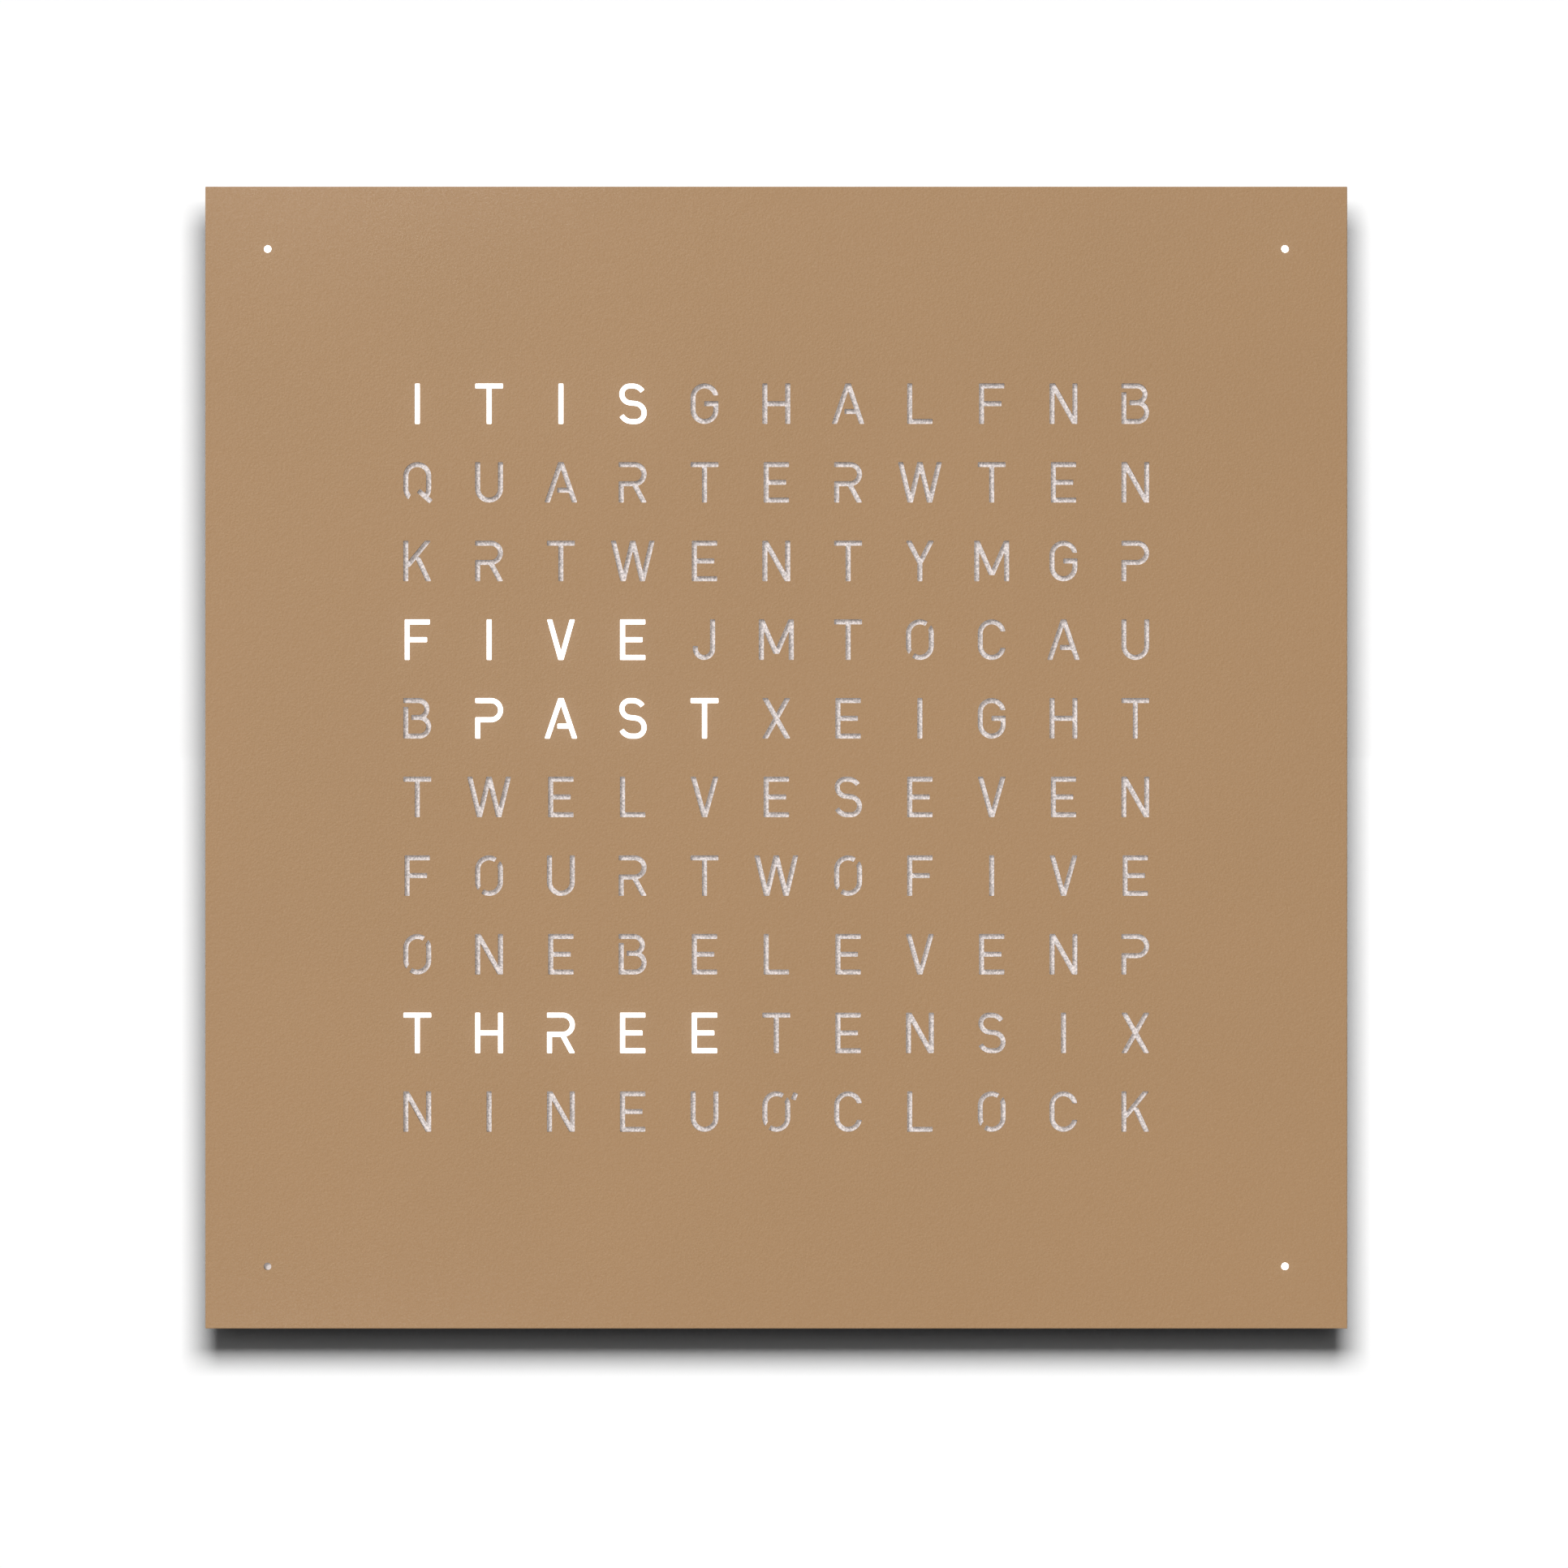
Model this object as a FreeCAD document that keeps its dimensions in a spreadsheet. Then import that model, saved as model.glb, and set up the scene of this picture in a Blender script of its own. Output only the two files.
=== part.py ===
"""Word clock for a wall: a lift-off steel letter plate in front of a flat lit housing.

The clock's middle on the wall is the origin. +X is to the right, +Z is up, and the letters face -Y.
Pieces are drawn face up, as they lie on a bench: across, up the dial, and depth out from the wall.
UPRIGHT then stands them against the wall. All sizes are in millimetres.
"""
import FreeCAD, Part
import math
import os
import re

import Sketcher

V = FreeCAD.Vector
UPRIGHT = FreeCAD.Rotation(V(1, 0, 0), 90)
SIDEWAYS = FreeCAD.Rotation(V(0, 1, 0), 90)

SIZES = {
    # letter plate and overall size
    "cover_side": 450.0,
    "cover_thickness": 2.0,
    "cover_edge_round": 0.3,
    "cover_overhang": 12.0,
    "cover_gap": 0.2,
    "overall_depth": 20.0,
    # letters
    "pitch_across": 28.3,
    "pitch_up": 31.0,
    "letter_height": 16.0,
    "letter_stroke": 2.0,
    "letter_width": 11.0,
    "narrow_letter_width": 10.0,
    "a_width": 12.9,
    "m_width": 13.8,
    "w_width": 17.3,
    "stroke_end_round": 0.35,
    "bridge_width": 1.7,
    "minute_inset": 24.5,
    "minute_hole_radius": 1.5,
    # fits
    "fit_gap": 0.3,
    "screw_gap": 0.1,
    # housing rails
    "rail_wall": 2.0,
    "flange_width": 12.0,
    "flange_thickness": 2.0,
    "ledge_width": 6.5,
    "ledge_thickness": 2.0,
    "corner_key_leg": 34.0,
    "key_screw_inset": 6.0,
    # rear panel
    "panel_thickness": 1.5,
    "panel_screw_pitch": 130.0,
    "hanger_spacing": 300.0,
    "hanger_height": 178.0,
    "hanger_entry_radius": 4.5,
    "hanger_slot_width": 4.5,
    "hanger_slot_reach": 12.0,
    "vent_length": 60.0,
    "vent_width": 2.5,
    "vent_pitch": 7.0,
    "vent_height": 118.0,
    "vent_offset": 60.0,
    "bumper_height": 1.5,
    "bumper_side": 16.0,
    "bumper_round": 0.6,
    # light box
    "diffuser_thickness": 1.2,
    "diffuser_lap": 8.0,
    "bezel_thickness": 3.0,
    "bezel_screw_pitch": 150.0,
    "bezel_screw_inset": 3.0,
    "grid_wall": 1.2,
    "board_clearance": 5.0,
    "board_thickness": 1.6,
    "board_margin": 10.0,
    "board_screw_pitch": 110.0,
    "led_side": 5.0,
    "led_height": 1.6,
    "led_window_radius": 2.0,
    "led_window_depth": 0.3,
    # minute lights
    "minute_board_side": 16.0,
    "minute_led_side": 3.0,
    "minute_led_height": 1.2,
    "well_radius": 3.5,
    "well_bore_radius": 2.4,
    "lens_length": 3.0,
    "lead_width": 3.0,
    "lead_thickness": 1.0,
    "lead_lap": 4.5,
    # plate holding
    "magnet_radius": 6.0,
    "magnet_thickness": 3.0,
    "stud_radius": 2.0,
    "stud_length": 9.0,
    "stud_chamfer": 0.6,
    "stud_height": 110.0,
    "bush_wall": 1.2,
    "bush_flange_radius": 5.0,
    "bush_flange_thickness": 0.9,
    # screws and standoffs
    "screw_radius": 1.5,
    "screw_head_radius": 2.75,
    "screw_head_height": 1.8,
    "screw_length": 5.5,
    "small_screw_radius": 1.25,
    "small_screw_head_radius": 2.2,
    "small_screw_head_height": 1.3,
    "standoff_radius": 3.0,
    # control board
    "control_length": 170.0,
    "control_clearance": 3.2,
    "control_edge_gap": 4.0,
    "control_top_gap": 2.0,
    "control_screw_inset": 4.5,
    "control_screw_clearance": 0.6,
    "processor_side": 10.0,
    "processor_height": 1.4,
    "driver_length": 10.0,
    "driver_width": 7.5,
    "driver_height": 2.3,
    "driver_pitch": 15.0,
    "crystal_length": 11.5,
    "crystal_width": 4.7,
    "crystal_height": 3.5,
    "capacitor_radius": 3.15,
    "capacitor_height": 5.0,
    "capacitor_pitch": 9.0,
    "cell_radius": 10.0,
    "cell_thickness": 3.2,
    "cell_offset": 58.0,
    "holder_wall": 1.3,
    "holder_floor": 1.0,
    "holder_height": 4.8,
    "receiver_length": 20.0,
    "receiver_width": 14.0,
    "receiver_height": 2.2,
    # power inlet
    "jack_offset": -30.0,
    "jack_width": 9.0,
    "jack_height": 6.2,
    "jack_length": 12.0,
    "jack_bore_radius": 2.8,
    "jack_bore_depth": 9.5,
    "jack_pin_radius": 1.0,
    "jack_pin_length": 9.0,
    # ribbon cable
    "ribbon_width": 20.0,
    "ribbon_thickness": 0.6,
    "socket_height": 2.2,
    "socket_depth": 5.0,
    "socket_side_gap": 1.5,
    # time signal antenna
    "antenna_radius": 4.0,
    "antenna_length": 70.0,
    "antenna_offset": 138.0,
    "coil_wall": 0.7,
    "coil_length": 26.0,
    "cradle_length": 6.0,
    "cradle_width": 11.0,
    "cradle_inset": 5.0,
    # side buttons and light sensor
    "button_pitch": 20.0,
    "button_middle": 125.0,
    "button_radius": 2.3,
    "button_proud": 1.2,
    "button_flange_radius": 3.0,
    "button_flange_thickness": 1.2,
    "button_rod_radius": 1.4,
    "button_tip_round": 0.4,
    "button_travel": 0.8,
    "plunger_radius": 1.7,
    "plunger_length": 4.6,
    "switch_side": 6.0,
    "switch_height": 3.5,
    "switch_well_depth": 2.3,
    "side_board_height": 8.4,
    "side_board_margin": 7.0,
    "sensor_offset": 60.0,
    "sensor_pipe_radius": 1.6,
    "sensor_plug_radius": 2.1,
    "sensor_chip_side": 4.0,
    "sensor_chip_height": 1.2,
}

# Depths out from the wall.
PANEL_BACK = "bumper_height"
PANEL_FRONT = "(bumper_height + panel_thickness)"
FLANGE_FRONT = f"({PANEL_FRONT} + flange_thickness)"
BOARD_BACK = f"({PANEL_FRONT} + board_clearance)"
BOARD_FRONT = f"({BOARD_BACK} + board_thickness)"
CONTROL_BACK = f"({PANEL_FRONT} + control_clearance)"
CONTROL_FRONT = f"({CONTROL_BACK} + board_thickness)"
COVER_BACK = "(overall_depth - cover_thickness)"
INNER_FRONT = f"({COVER_BACK} - cover_gap)"
BEZEL_FRONT = f"({INNER_FRONT} - diffuser_thickness)"
BEZEL_BACK = f"({BEZEL_FRONT} - bezel_thickness)"
LEDGE_BACK = f"({BEZEL_BACK} - ledge_thickness)"
SIDE_AXIS = f"(({FLANGE_FRONT} + {LEDGE_BACK}) / 2)"

# Distances from the middle of the dial.
HALF_HOUSING = "(cover_side / 2 - cover_overhang)"
WALL_INSIDE = f"({HALF_HOUSING} - rail_wall)"
TRAY_EDGE = f"({WALL_INSIDE} - fit_gap)"
FLANGE_INSIDE = f"({WALL_INSIDE} - flange_width)"
FLANGE_LINE = f"({WALL_INSIDE} - flange_width / 2)"
LEDGE_INSIDE = f"({WALL_INSIDE} - ledge_width)"
BEZEL_SCREW_LINE = f"({WALL_INSIDE} - bezel_screw_inset)"
KEY_SCREW_PLACE = f"({TRAY_EDGE} - corner_key_leg + key_screw_inset)"
MINUTE_PLACE = "(cover_side / 2 - minute_inset)"

# Letter rows. The words of the time run left to right, and single letters fill the gaps.
LETTER_ROWS = (
    "ITISGHALFNB",
    "QUARTERWTEN",
    "KRTWENTYMGP",
    "FIVEJMTOCAU",
    "BPASTXEIGHT",
    "TWELVESEVEN",
    "FOURTWOFIVE",
    "ONEBELEVENP",
    "THREETENSIX",
    "NINEUO'CLOCK",
)
ROWS = len(LETTER_ROWS)
COLUMNS = len(LETTER_ROWS[0])
GRID_HALF_ACROSS = f"({COLUMNS} * pitch_across / 2 + grid_wall / 2)"
GRID_HALF_UP = f"({ROWS} * pitch_up / 2 + grid_wall / 2)"
BOARD_HALF_ACROSS = f"({GRID_HALF_ACROSS} + board_margin)"
BOARD_HALF_UP = f"({GRID_HALF_UP} + board_margin)"
MARGIN_ACROSS = f"(({GRID_HALF_ACROSS} + {TRAY_EDGE}) / 2)"
MARGIN_UP = f"(({GRID_HALF_UP} + {TRAY_EDGE}) / 2)"
CONTROL_BOTTOM = f"(-{WALL_INSIDE} + control_edge_gap)"
CONTROL_TOP = f"(-{BOARD_HALF_UP} - control_top_gap)"
CONTROL_MIDDLE = f"(({CONTROL_BOTTOM} + {CONTROL_TOP}) / 2)"
SIDE_BOARD_OUTSIDE = f"({FLANGE_INSIDE} - fit_gap)"

# Stroke kinds, each through points from -1 to 1 across and up the letter:
# bar: straight, level or upright, with square ends; slant: sloping, with its ends cut level;
# bend: several runs with round corners and square ends; curl: the same, ending at its last points;
# ring: a closed round-ended loop.
# Cut kinds keep the plate in one piece: bridge: a strip from the middle outwards at an angle;
# wedge: all between two angles; mouth: the right side of a ring, between two heights.
STEM = ("bar", (-1, -1), (-1, 1))
TOP_BAR = ("bar", (-1, 1), (1, 1))
FOOT_BAR = ("bar", (-1, -1), (1, -1))
MIDDLE_BAR = ("bar", (-1, 0), (0.72, 0))
BOWL = ("bend", (-1, 1), (1, 1), (1, -0.08), (-1, -0.08))
SHORT_STEM = ("bar", (-1, -0.08), (-1, -1))
RING = ("ring",)
GLYPHS = {
    "A": ("a_width", [("slant", (-1, -1), (0, 1)), ("slant", (0, 1), (1, -1)),
                      ("bar", (-0.08, -0.44), (0.62, -0.44))], []),
    "B": ("letter_width", [("bar", (-1, -1), (-1, 0.5)),
                           ("bend", (-1, 1), (0.85, 1), (0.85, 0.05), (-0.3, 0.05)),
                           ("bend", (-1, -1), (1, -1), (1, 0.05), (-0.3, 0.05))], []),
    "C": ("letter_width", [RING], [("mouth", -0.46, 0.46)]),
    "E": ("narrow_letter_width", [STEM, TOP_BAR, MIDDLE_BAR, FOOT_BAR], []),
    "F": ("narrow_letter_width", [STEM, TOP_BAR, MIDDLE_BAR], []),
    "G": ("letter_width", [RING, ("bar", (0.2, 0), (1, 0))], [("mouth", 0.14, 0.46)]),
    "H": ("letter_width", [STEM, ("bar", (1, -1), (1, 1)), ("bar", (-1, 0), (1, 0))], []),
    "I": ("letter_width", [("bar", (0, -1), (0, 1))], []),
    "J": ("narrow_letter_width", [("bend", (0.8, 1), (0.8, -1), (-0.9, -1), (-0.9, -0.5))], []),
    "K": ("letter_width", [STEM, ("slant", (-0.95, -0.3), (0.95, 1)),
                           ("slant", (0, 0.2), (1, -1))], []),
    "L": ("narrow_letter_width", [STEM, FOOT_BAR], []),
    "M": ("m_width", [STEM, ("bar", (1, -1), (1, 1)), ("slant", (-1, 1), (0, -0.7)),
                      ("slant", (1, 1), (0, -0.7))], []),
    "N": ("letter_width", [STEM, ("bar", (1, -1), (1, 1)), ("slant", (-1, 1), (1, -1))], []),
    "O": ("letter_width", [RING], [("bridge", 60), ("bridge", 240)]),
    "P": ("letter_width", [BOWL, SHORT_STEM], []),
    "Q": ("letter_width", [RING, ("bar", (0.27, -0.56), (1.04, -1))], [("wedge", 243, 303)]),
    "R": ("letter_width", [BOWL, SHORT_STEM, ("slant", (0.12, -0.08), (1, -1))], []),
    "S": ("letter_width", [("curl", (0.86, 0.7), (0.5, 1), (-0.95, 1), (-0.95, 0.1),
                            (1, -0.04), (1, -1), (-0.6, -1), (-0.98, -0.66))], []),
    "T": ("letter_width", [TOP_BAR, ("bar", (0, 1), (0, -1))], []),
    "U": ("letter_width", [("bend", (-1, 1), (-1, -1), (1, -1), (1, 1))], []),
    "V": ("letter_width", [("slant", (-1, 1), (0, -1)), ("slant", (1, 1), (0, -1))], []),
    "W": ("w_width", [("slant", (-1, 1), (-0.5, -1)), ("slant", (-0.5, -1), (0, 1)),
                      ("slant", (0, 1), (0.5, -1)), ("slant", (0.5, -1), (1, 1))], []),
    "X": ("letter_width", [("slant", (-1, 1), (1, -1)), ("slant", (1, 1), (-1, -1))], []),
    "Y": ("letter_width", [("slant", (-1, 1), (0, -0.1)), ("slant", (1, 1), (0, -0.1)),
                           ("bar", (0, -0.05), (0, -1))], []),
    "'": ("letter_width", [("bar", (1.63, 0.92), (1.56, 0.8))], []),
}

TINY = 1e-4

doc = FreeCAD.newDocument("word_clock")
sheet = doc.addObject("Spreadsheet::Sheet", "Sizes")
for row, (alias, size) in enumerate(SIZES.items(), start=1):
    sheet.set(f"A{row}", alias.replace("_", " "))
    sheet.set(f"B{row}", str(size))
    sheet.setAlias(f"B{row}", alias)
doc.recompute()
nodes = []


# ---------------------------------------------------------------- formulas and placing

def bound(formula):
    """The formula with each size's word read from the sheet. Function names stay as they are."""
    return re.sub(r"\b[a-z]\w*\b(?!\()", lambda word: f"Sizes.{word.group()}", formula)


def number(formula):
    """The formula's value now."""
    return float(sheet.evalExpression(bound(formula)))


def place(feature, across, up, depth):
    """Bind a feature's origin to three formulas."""
    for axis, formula in (("x", across), ("z", up), ("y", f"-({depth})")):
        feature.setExpression(f".Placement.Base.{axis}", bound(formula))


def keep(feature, node):
    """Name a finished sub-part after its node."""
    feature.Label = node
    nodes.append(feature)
    return feature


def mirrored(across, up):
    """The four places that mirror one place in both middle lines."""
    return [(f"{a} * ({across})", f"{b} * ({up})") for a in (-1, 1) for b in (-1, 1)]


def on_four_sides(along, out):
    """Each distance along a side, on all four sides at one distance out from the middle."""
    places = []
    for distance in along:
        places += [(distance, out), (distance, f"-({out})")]
        places += [(out, distance), (f"-({out})", distance)]
    return places


# ---------------------------------------------------------------- primitives and booleans

def block(name, across, up, depth):
    """A box between two formulas each way."""
    feature = doc.addObject("Part::Box", name)
    feature.Placement = FreeCAD.Placement(V(), UPRIGHT)
    for side, (low, high) in zip(("Length", "Width", "Height"), (across, up, depth)):
        feature.setExpression(side, bound(f"({high}) - ({low})"))
    place(feature, across[0], up[0], depth[0])
    return feature


def about(middle, size):
    """The two ends of a size that is centred on a place."""
    return (f"{middle} - ({size}) / 2", f"{middle} + ({size}) / 2")


def peg(name, radius, depth, across="0", up="0"):
    """A cylinder that stands out from the wall between two depths."""
    feature = doc.addObject("Part::Cylinder", name)
    feature.Placement = FreeCAD.Placement(V(), UPRIGHT)
    feature.setExpression("Radius", bound(radius))
    feature.setExpression("Height", bound(f"({depth[1]}) - ({depth[0]})"))
    place(feature, across, up, depth[0])
    return feature


def crosswise_peg(name, radius, across, up, depth):
    """A cylinder along the clock's width, between two places."""
    feature = doc.addObject("Part::Cylinder", name)
    feature.Placement = FreeCAD.Placement(V(), SIDEWAYS)
    feature.setExpression("Radius", bound(radius))
    feature.setExpression("Height", bound(f"({across[1]}) - ({across[0]})"))
    place(feature, across[0], up, depth)
    return feature


def repeat(name, original, places):
    """Copies of a piece that was drawn at the middle, one at each place."""
    copies = []
    for count, (across, up) in enumerate(places):
        copy = doc.addObject("App::Link", f"{name}_{count}")
        copy.LinkedObject = original
        copy.LinkTransform = True
        place(copy, across, up, "0")
        copies.append(copy)
    return group(name, copies)


def turn_round(name, original):
    """Four copies of a corner piece, turned about the middle of the dial."""
    copies = []
    for quarter in range(4):
        copy = doc.addObject("App::Link", f"{name}_{quarter}")
        copy.LinkedObject = original
        copy.LinkTransform = True
        copy.Placement = FreeCAD.Placement(V(), FreeCAD.Rotation(V(0, 1, 0), 90 * quarter))
        copies.append(copy)
    return group(name, copies)


def group(name, parts):
    """Several separate solids kept together."""
    feature = doc.addObject("Part::Compound", name)
    feature.Links = parts
    return feature


def cut(name, base, tools):
    """A base less a group of tools."""
    feature = doc.addObject("Part::Cut", name)
    feature.Base = base
    feature.Tool = group(f"{name}_tools", tools) if len(tools) > 1 else tools[0]
    return feature


# ---------------------------------------------------------------- bodies and sketches

def new_body(name, turn=UPRIGHT):
    body = doc.addObject("PartDesign::Body", name)
    body.Placement = FreeCAD.Placement(V(), turn)
    return body


def sketch_on(body, role, offset):
    """A sketch on one of the body's origin planes, moved along its normal."""
    sketch = body.newObject("Sketcher::SketchObject", f"{body.Name}_sketch")
    plane = next(item for item in body.Origin.OriginFeatures if item.Role == role)
    sketch.AttachmentSupport = [(plane, "")]
    sketch.MapMode = "FlatFace"
    sketch.setExpression("AttachmentOffset.Base.z", bound(offset))
    return sketch


def pin_point(sketch, line, formulas):
    """Drive the start of a line, or the middle of a circle, by its two distances."""
    end = 3 if isinstance(sketch.Geometry[line], Part.Circle) else 1
    for kind, formula in zip(("DistanceX", "DistanceY"), formulas):
        distance = Sketcher.Constraint(kind, -1, 1, line, end, number(formula))
        sketch.setExpression(f"Constraints[{sketch.addConstraint(distance)}]", bound(formula))


def outline(sketch, corners):
    """A closed outline of straight lines through the corners."""
    points = [V(number(x), number(y), 0) for x, y in corners]
    first = sketch.GeometryCount
    for start, stop in zip(points, points[1:] + points[:1]):
        sketch.addGeometry(Part.LineSegment(start, stop))
    for step, corner in enumerate(corners):
        before = first + (step - 1) % len(corners)
        sketch.addConstraint(Sketcher.Constraint("Coincident", first + step, 1, before, 2))
        pin_point(sketch, first + step, corner)


def rectangle(sketch, across, up):
    outline(sketch, [(across[0], up[0]), (across[1], up[0]), (across[1], up[1]), (across[0], up[1])])


def circle(sketch, centre, radius):
    middle = V(number(centre[0]), number(centre[1]), 0)
    line = sketch.addGeometry(Part.Circle(middle, V(0, 0, 1), number(radius)))
    size = sketch.addConstraint(Sketcher.Constraint("Radius", line, number(radius)))
    sketch.setExpression(f"Constraints[{size}]", bound(radius))
    pin_point(sketch, line, centre)


def pad(body, sketch, length):
    feature = body.newObject("PartDesign::Pad", f"{body.Name}_pad")
    feature.Profile = sketch
    feature.setExpression("Length", bound(length))


def pocket(body, sketch, length):
    """Cut back from the sketch, against its normal."""
    feature = body.newObject("PartDesign::Pocket", f"{body.Name}_pocket")
    feature.Profile = sketch
    feature.setExpression("Length", bound(length))


def turned(name, profile, turn=UPRIGHT):
    """A turned piece. Its profile is pairs of radius and height along its own axis."""
    body = new_body(name, turn)
    sketch = sketch_on(body, "XZ_Plane", "0")
    outline(sketch, profile)
    feature = body.newObject("PartDesign::Revolution", f"{name}_turn")
    feature.Profile = sketch
    feature.ReferenceAxis = (sketch, ["V_Axis"])
    feature.Angle = 360
    return body


def stepped_pin(name, radius, ends, head_radius, head_ends, turn=UPRIGHT):
    """A round pin with a cylindrical head past its far end."""
    return turned(name, [
        ("0", ends[0]), (radius, ends[0]), (radius, head_ends[0]), (head_radius, head_ends[0]),
        (head_radius, head_ends[1]), ("0", head_ends[1]),
    ], turn)


def sleeve(name, bore, radius, depth):
    """A plain round tube between two depths."""
    return turned(name, [(bore, depth[0]), (radius, depth[0]), (radius, depth[1]), (bore, depth[1])])


# ---------------------------------------------------------------- letters

def side_of_path(points, radii, shift):
    """Corners and radii of the line that runs at a distance to the left of a path."""
    runs = [(b - a).normalize() for a, b in zip(points, points[1:])]
    lefts = [V(-run.y, run.x, 0) for run in runs]
    corners = [points[0] + lefts[0] * shift]
    new_radii = []
    for here, radius, before, after, run, next_run in zip(
        points[1:-1], radii, lefts, lefts[1:], runs, runs[1:]
    ):
        corners.append(here + (before + after) * (shift / (1 + before.dot(after))))
        leftward = 1 if run.cross(next_run).z > 0 else -1
        new_radii.append(max(radius - leftward * shift, 0))
    corners.append(points[-1] + lefts[-1] * shift)
    return corners, new_radii


def soft_edges(corners, radii):
    """Lines through the corners, with an arc of its radius at each inner one."""
    edges = []
    start = corners[0]
    for before, here, after, radius in zip(corners, corners[1:], corners[2:], radii):
        arrive = (here - before).normalize()
        leave = (after - here).normalize()
        turn = arrive.getAngle(leave)
        reach = radius * math.tan(turn / 2)
        first, last = here - arrive * reach, here + leave * reach
        if (first - start).Length > TINY:
            edges.append(Part.makeLine(start, first))
        if radius > TINY:
            inward = (leave - arrive).normalize()
            crown = here + inward * (radius / math.cos(turn / 2) - radius)
            edges.append(Part.Arc(first, crown, last).toShape())
        start = last
    edges.append(Part.makeLine(start, corners[-1]))
    return edges


def widest_radii(points, most):
    """The radius of each inner corner: the most asked for, or what half of each run leaves."""
    radii = []
    last = len(points) - 1
    for step in range(1, last):
        before, after = points[step] - points[step - 1], points[step + 1] - points[step]
        first_room = before.Length * (1 if step == 1 else 0.5)
        last_room = after.Length * (1 if step == last - 1 else 0.5)
        room = min(first_room, last_room)
        radii.append(min(most, room / math.tan(before.getAngle(after) / 2)))
    return radii


def flat_face(wire):
    """The flat face inside a wire, facing up."""
    return Part.Face(Part.Plane(V(), V(0, 0, 1)), wire)


def stroke_face(points, most):
    """A stroke of even width along a path with round corners and flat ends."""
    radii = widest_radii(points, most)
    half = number("letter_stroke / 2")
    left = soft_edges(*side_of_path(points, radii, half))
    right = soft_edges(*side_of_path(points, radii, -half))
    starts = [points[0] + (edge.Vertexes[0].Point - points[0]) for edge in (left[0], right[0])]
    stops = [edge.Vertexes[-1].Point for edge in (left[-1], right[-1])]
    caps = [Part.makeLine(*starts), Part.makeLine(*stops)]
    return flat_face(Part.Wire(Part.__sortEdges__(left + right + caps)))


def squared(points, reach):
    """The same path with its two ends carried on by a reach."""
    first = points[0] + (points[0] - points[1]).normalize() * reach
    last = points[-1] + (points[-1] - points[-2]).normalize() * reach
    return [first] + points[1:-1] + [last]


def slant_face(low, high):
    """A sloping stroke whose ends are cut level."""
    run = high - low
    half = number("letter_stroke / 2") * run.Length / abs(run.y)
    sides = [low - V(half, 0, 0), low + V(half, 0, 0), high + V(half, 0, 0), high - V(half, 0, 0)]
    return flat_face(Part.makePolygon(sides + sides[:1]))


def stadium(half_width, half_height):
    """A closed outline with straight sides and half-round ends."""
    straight = half_height - half_width
    right, left = V(half_width, straight, 0), V(-half_width, straight, 0)
    low_right, low_left = V(half_width, -straight, 0), V(-half_width, -straight, 0)
    top = Part.Arc(right, V(0, half_height, 0), left).toShape()
    foot = Part.Arc(low_left, V(0, -half_height, 0), low_right).toShape()
    return Part.Wire([top, Part.makeLine(left, low_left), foot, Part.makeLine(low_right, right)])


def ring_face(half_width, half_height):
    half = number("letter_stroke / 2")
    rim = flat_face(stadium(half_width + half, half_height + half))
    return rim.cut(flat_face(stadium(half_width - half, half_height - half)))


def strip_face(corner, opposite, angle=0):
    """A rectangle between two corners, turned about the middle of the letter."""
    low, high = corner, opposite
    points = [V(low[0], low[1], 0), V(high[0], low[1], 0), V(high[0], high[1], 0), V(low[0], high[1], 0)]
    face = flat_face(Part.makePolygon(points + points[:1]))
    face.rotate(V(), V(0, 0, 1), angle)
    return face


def stroke_shape(kind, points, half_width, half_height):
    """The face of one stroke, from its kind and its points."""
    half = number("letter_stroke / 2")
    if kind == "ring":
        return ring_face(half_width, half_height)
    if kind == "slant":
        low, high = sorted((V(x * half_width, y * (half_height + half), 0) for x, y in points),
                           key=lambda point: point.y)
        return slant_face(low, high)
    places = [V(x * half_width, y * half_height, 0) for x, y in points]
    if kind != "curl":
        places = squared(places, half)
    return stroke_face(places, half_width)


def cut_shape(kind, details, half_width, half_height):
    """The face of one bridge or mouth."""
    reach = number("letter_height")
    if kind == "bridge":
        half = number("bridge_width / 2")
        return strip_face((0, -half), (reach, half), details[0])
    if kind == "wedge":
        turns = [math.radians(angle) for angle in details]
        sides = [V(reach * math.cos(turn), reach * math.sin(turn), 0) for turn in turns]
        return flat_face(Part.makePolygon([V()] + sides + [V()]))
    low, high = (share * half_height for share in details)
    return strip_face((0, low), (reach, high))


def letter_faces(letter):
    """The openings of one letter about the middle of its cell, their corners a little rounded."""
    width, strokes, cuts = GLYPHS[letter]
    half_width = number(f"({width} - letter_stroke) / 2")
    half_height = number("(letter_height - letter_stroke) / 2")
    sizes = (half_width, half_height)
    faces = []
    for kind, *points in strokes:
        shape = stroke_shape(kind, points, *sizes)
        for cut_kind, *details in cuts if kind == "ring" else []:
            shape = shape.cut(cut_shape(cut_kind, details, *sizes))
        faces += shape.Faces
    return [soft for face in joined(faces) for soft in soften(face)]


def joined(faces):
    """Faces that touch made into one."""
    return faces[0].fuse(faces[1:]).removeSplitter().Faces if len(faces) > 1 else faces


def soften(face):
    """The face with its outer corners rounded: drawn in by the radius and let out again."""
    radius = number("stroke_end_round")
    return joined(face.makeOffset2D(-radius, 0).makeOffset2D(radius, 0).Faces)


def letter_places():
    """Every letter with the middle of its cell. An apostrophe shares the cell before it."""
    for row, letters in enumerate(LETTER_ROWS):
        column = -1
        for letter in letters:
            column += 0 if letter == "'" else 1
            across = (column - (COLUMNS - 1) / 2) * number("pitch_across")
            up = ((ROWS - 1) / 2 - row) * number("pitch_up")
            yield letter, V(across, up, 0)


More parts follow.
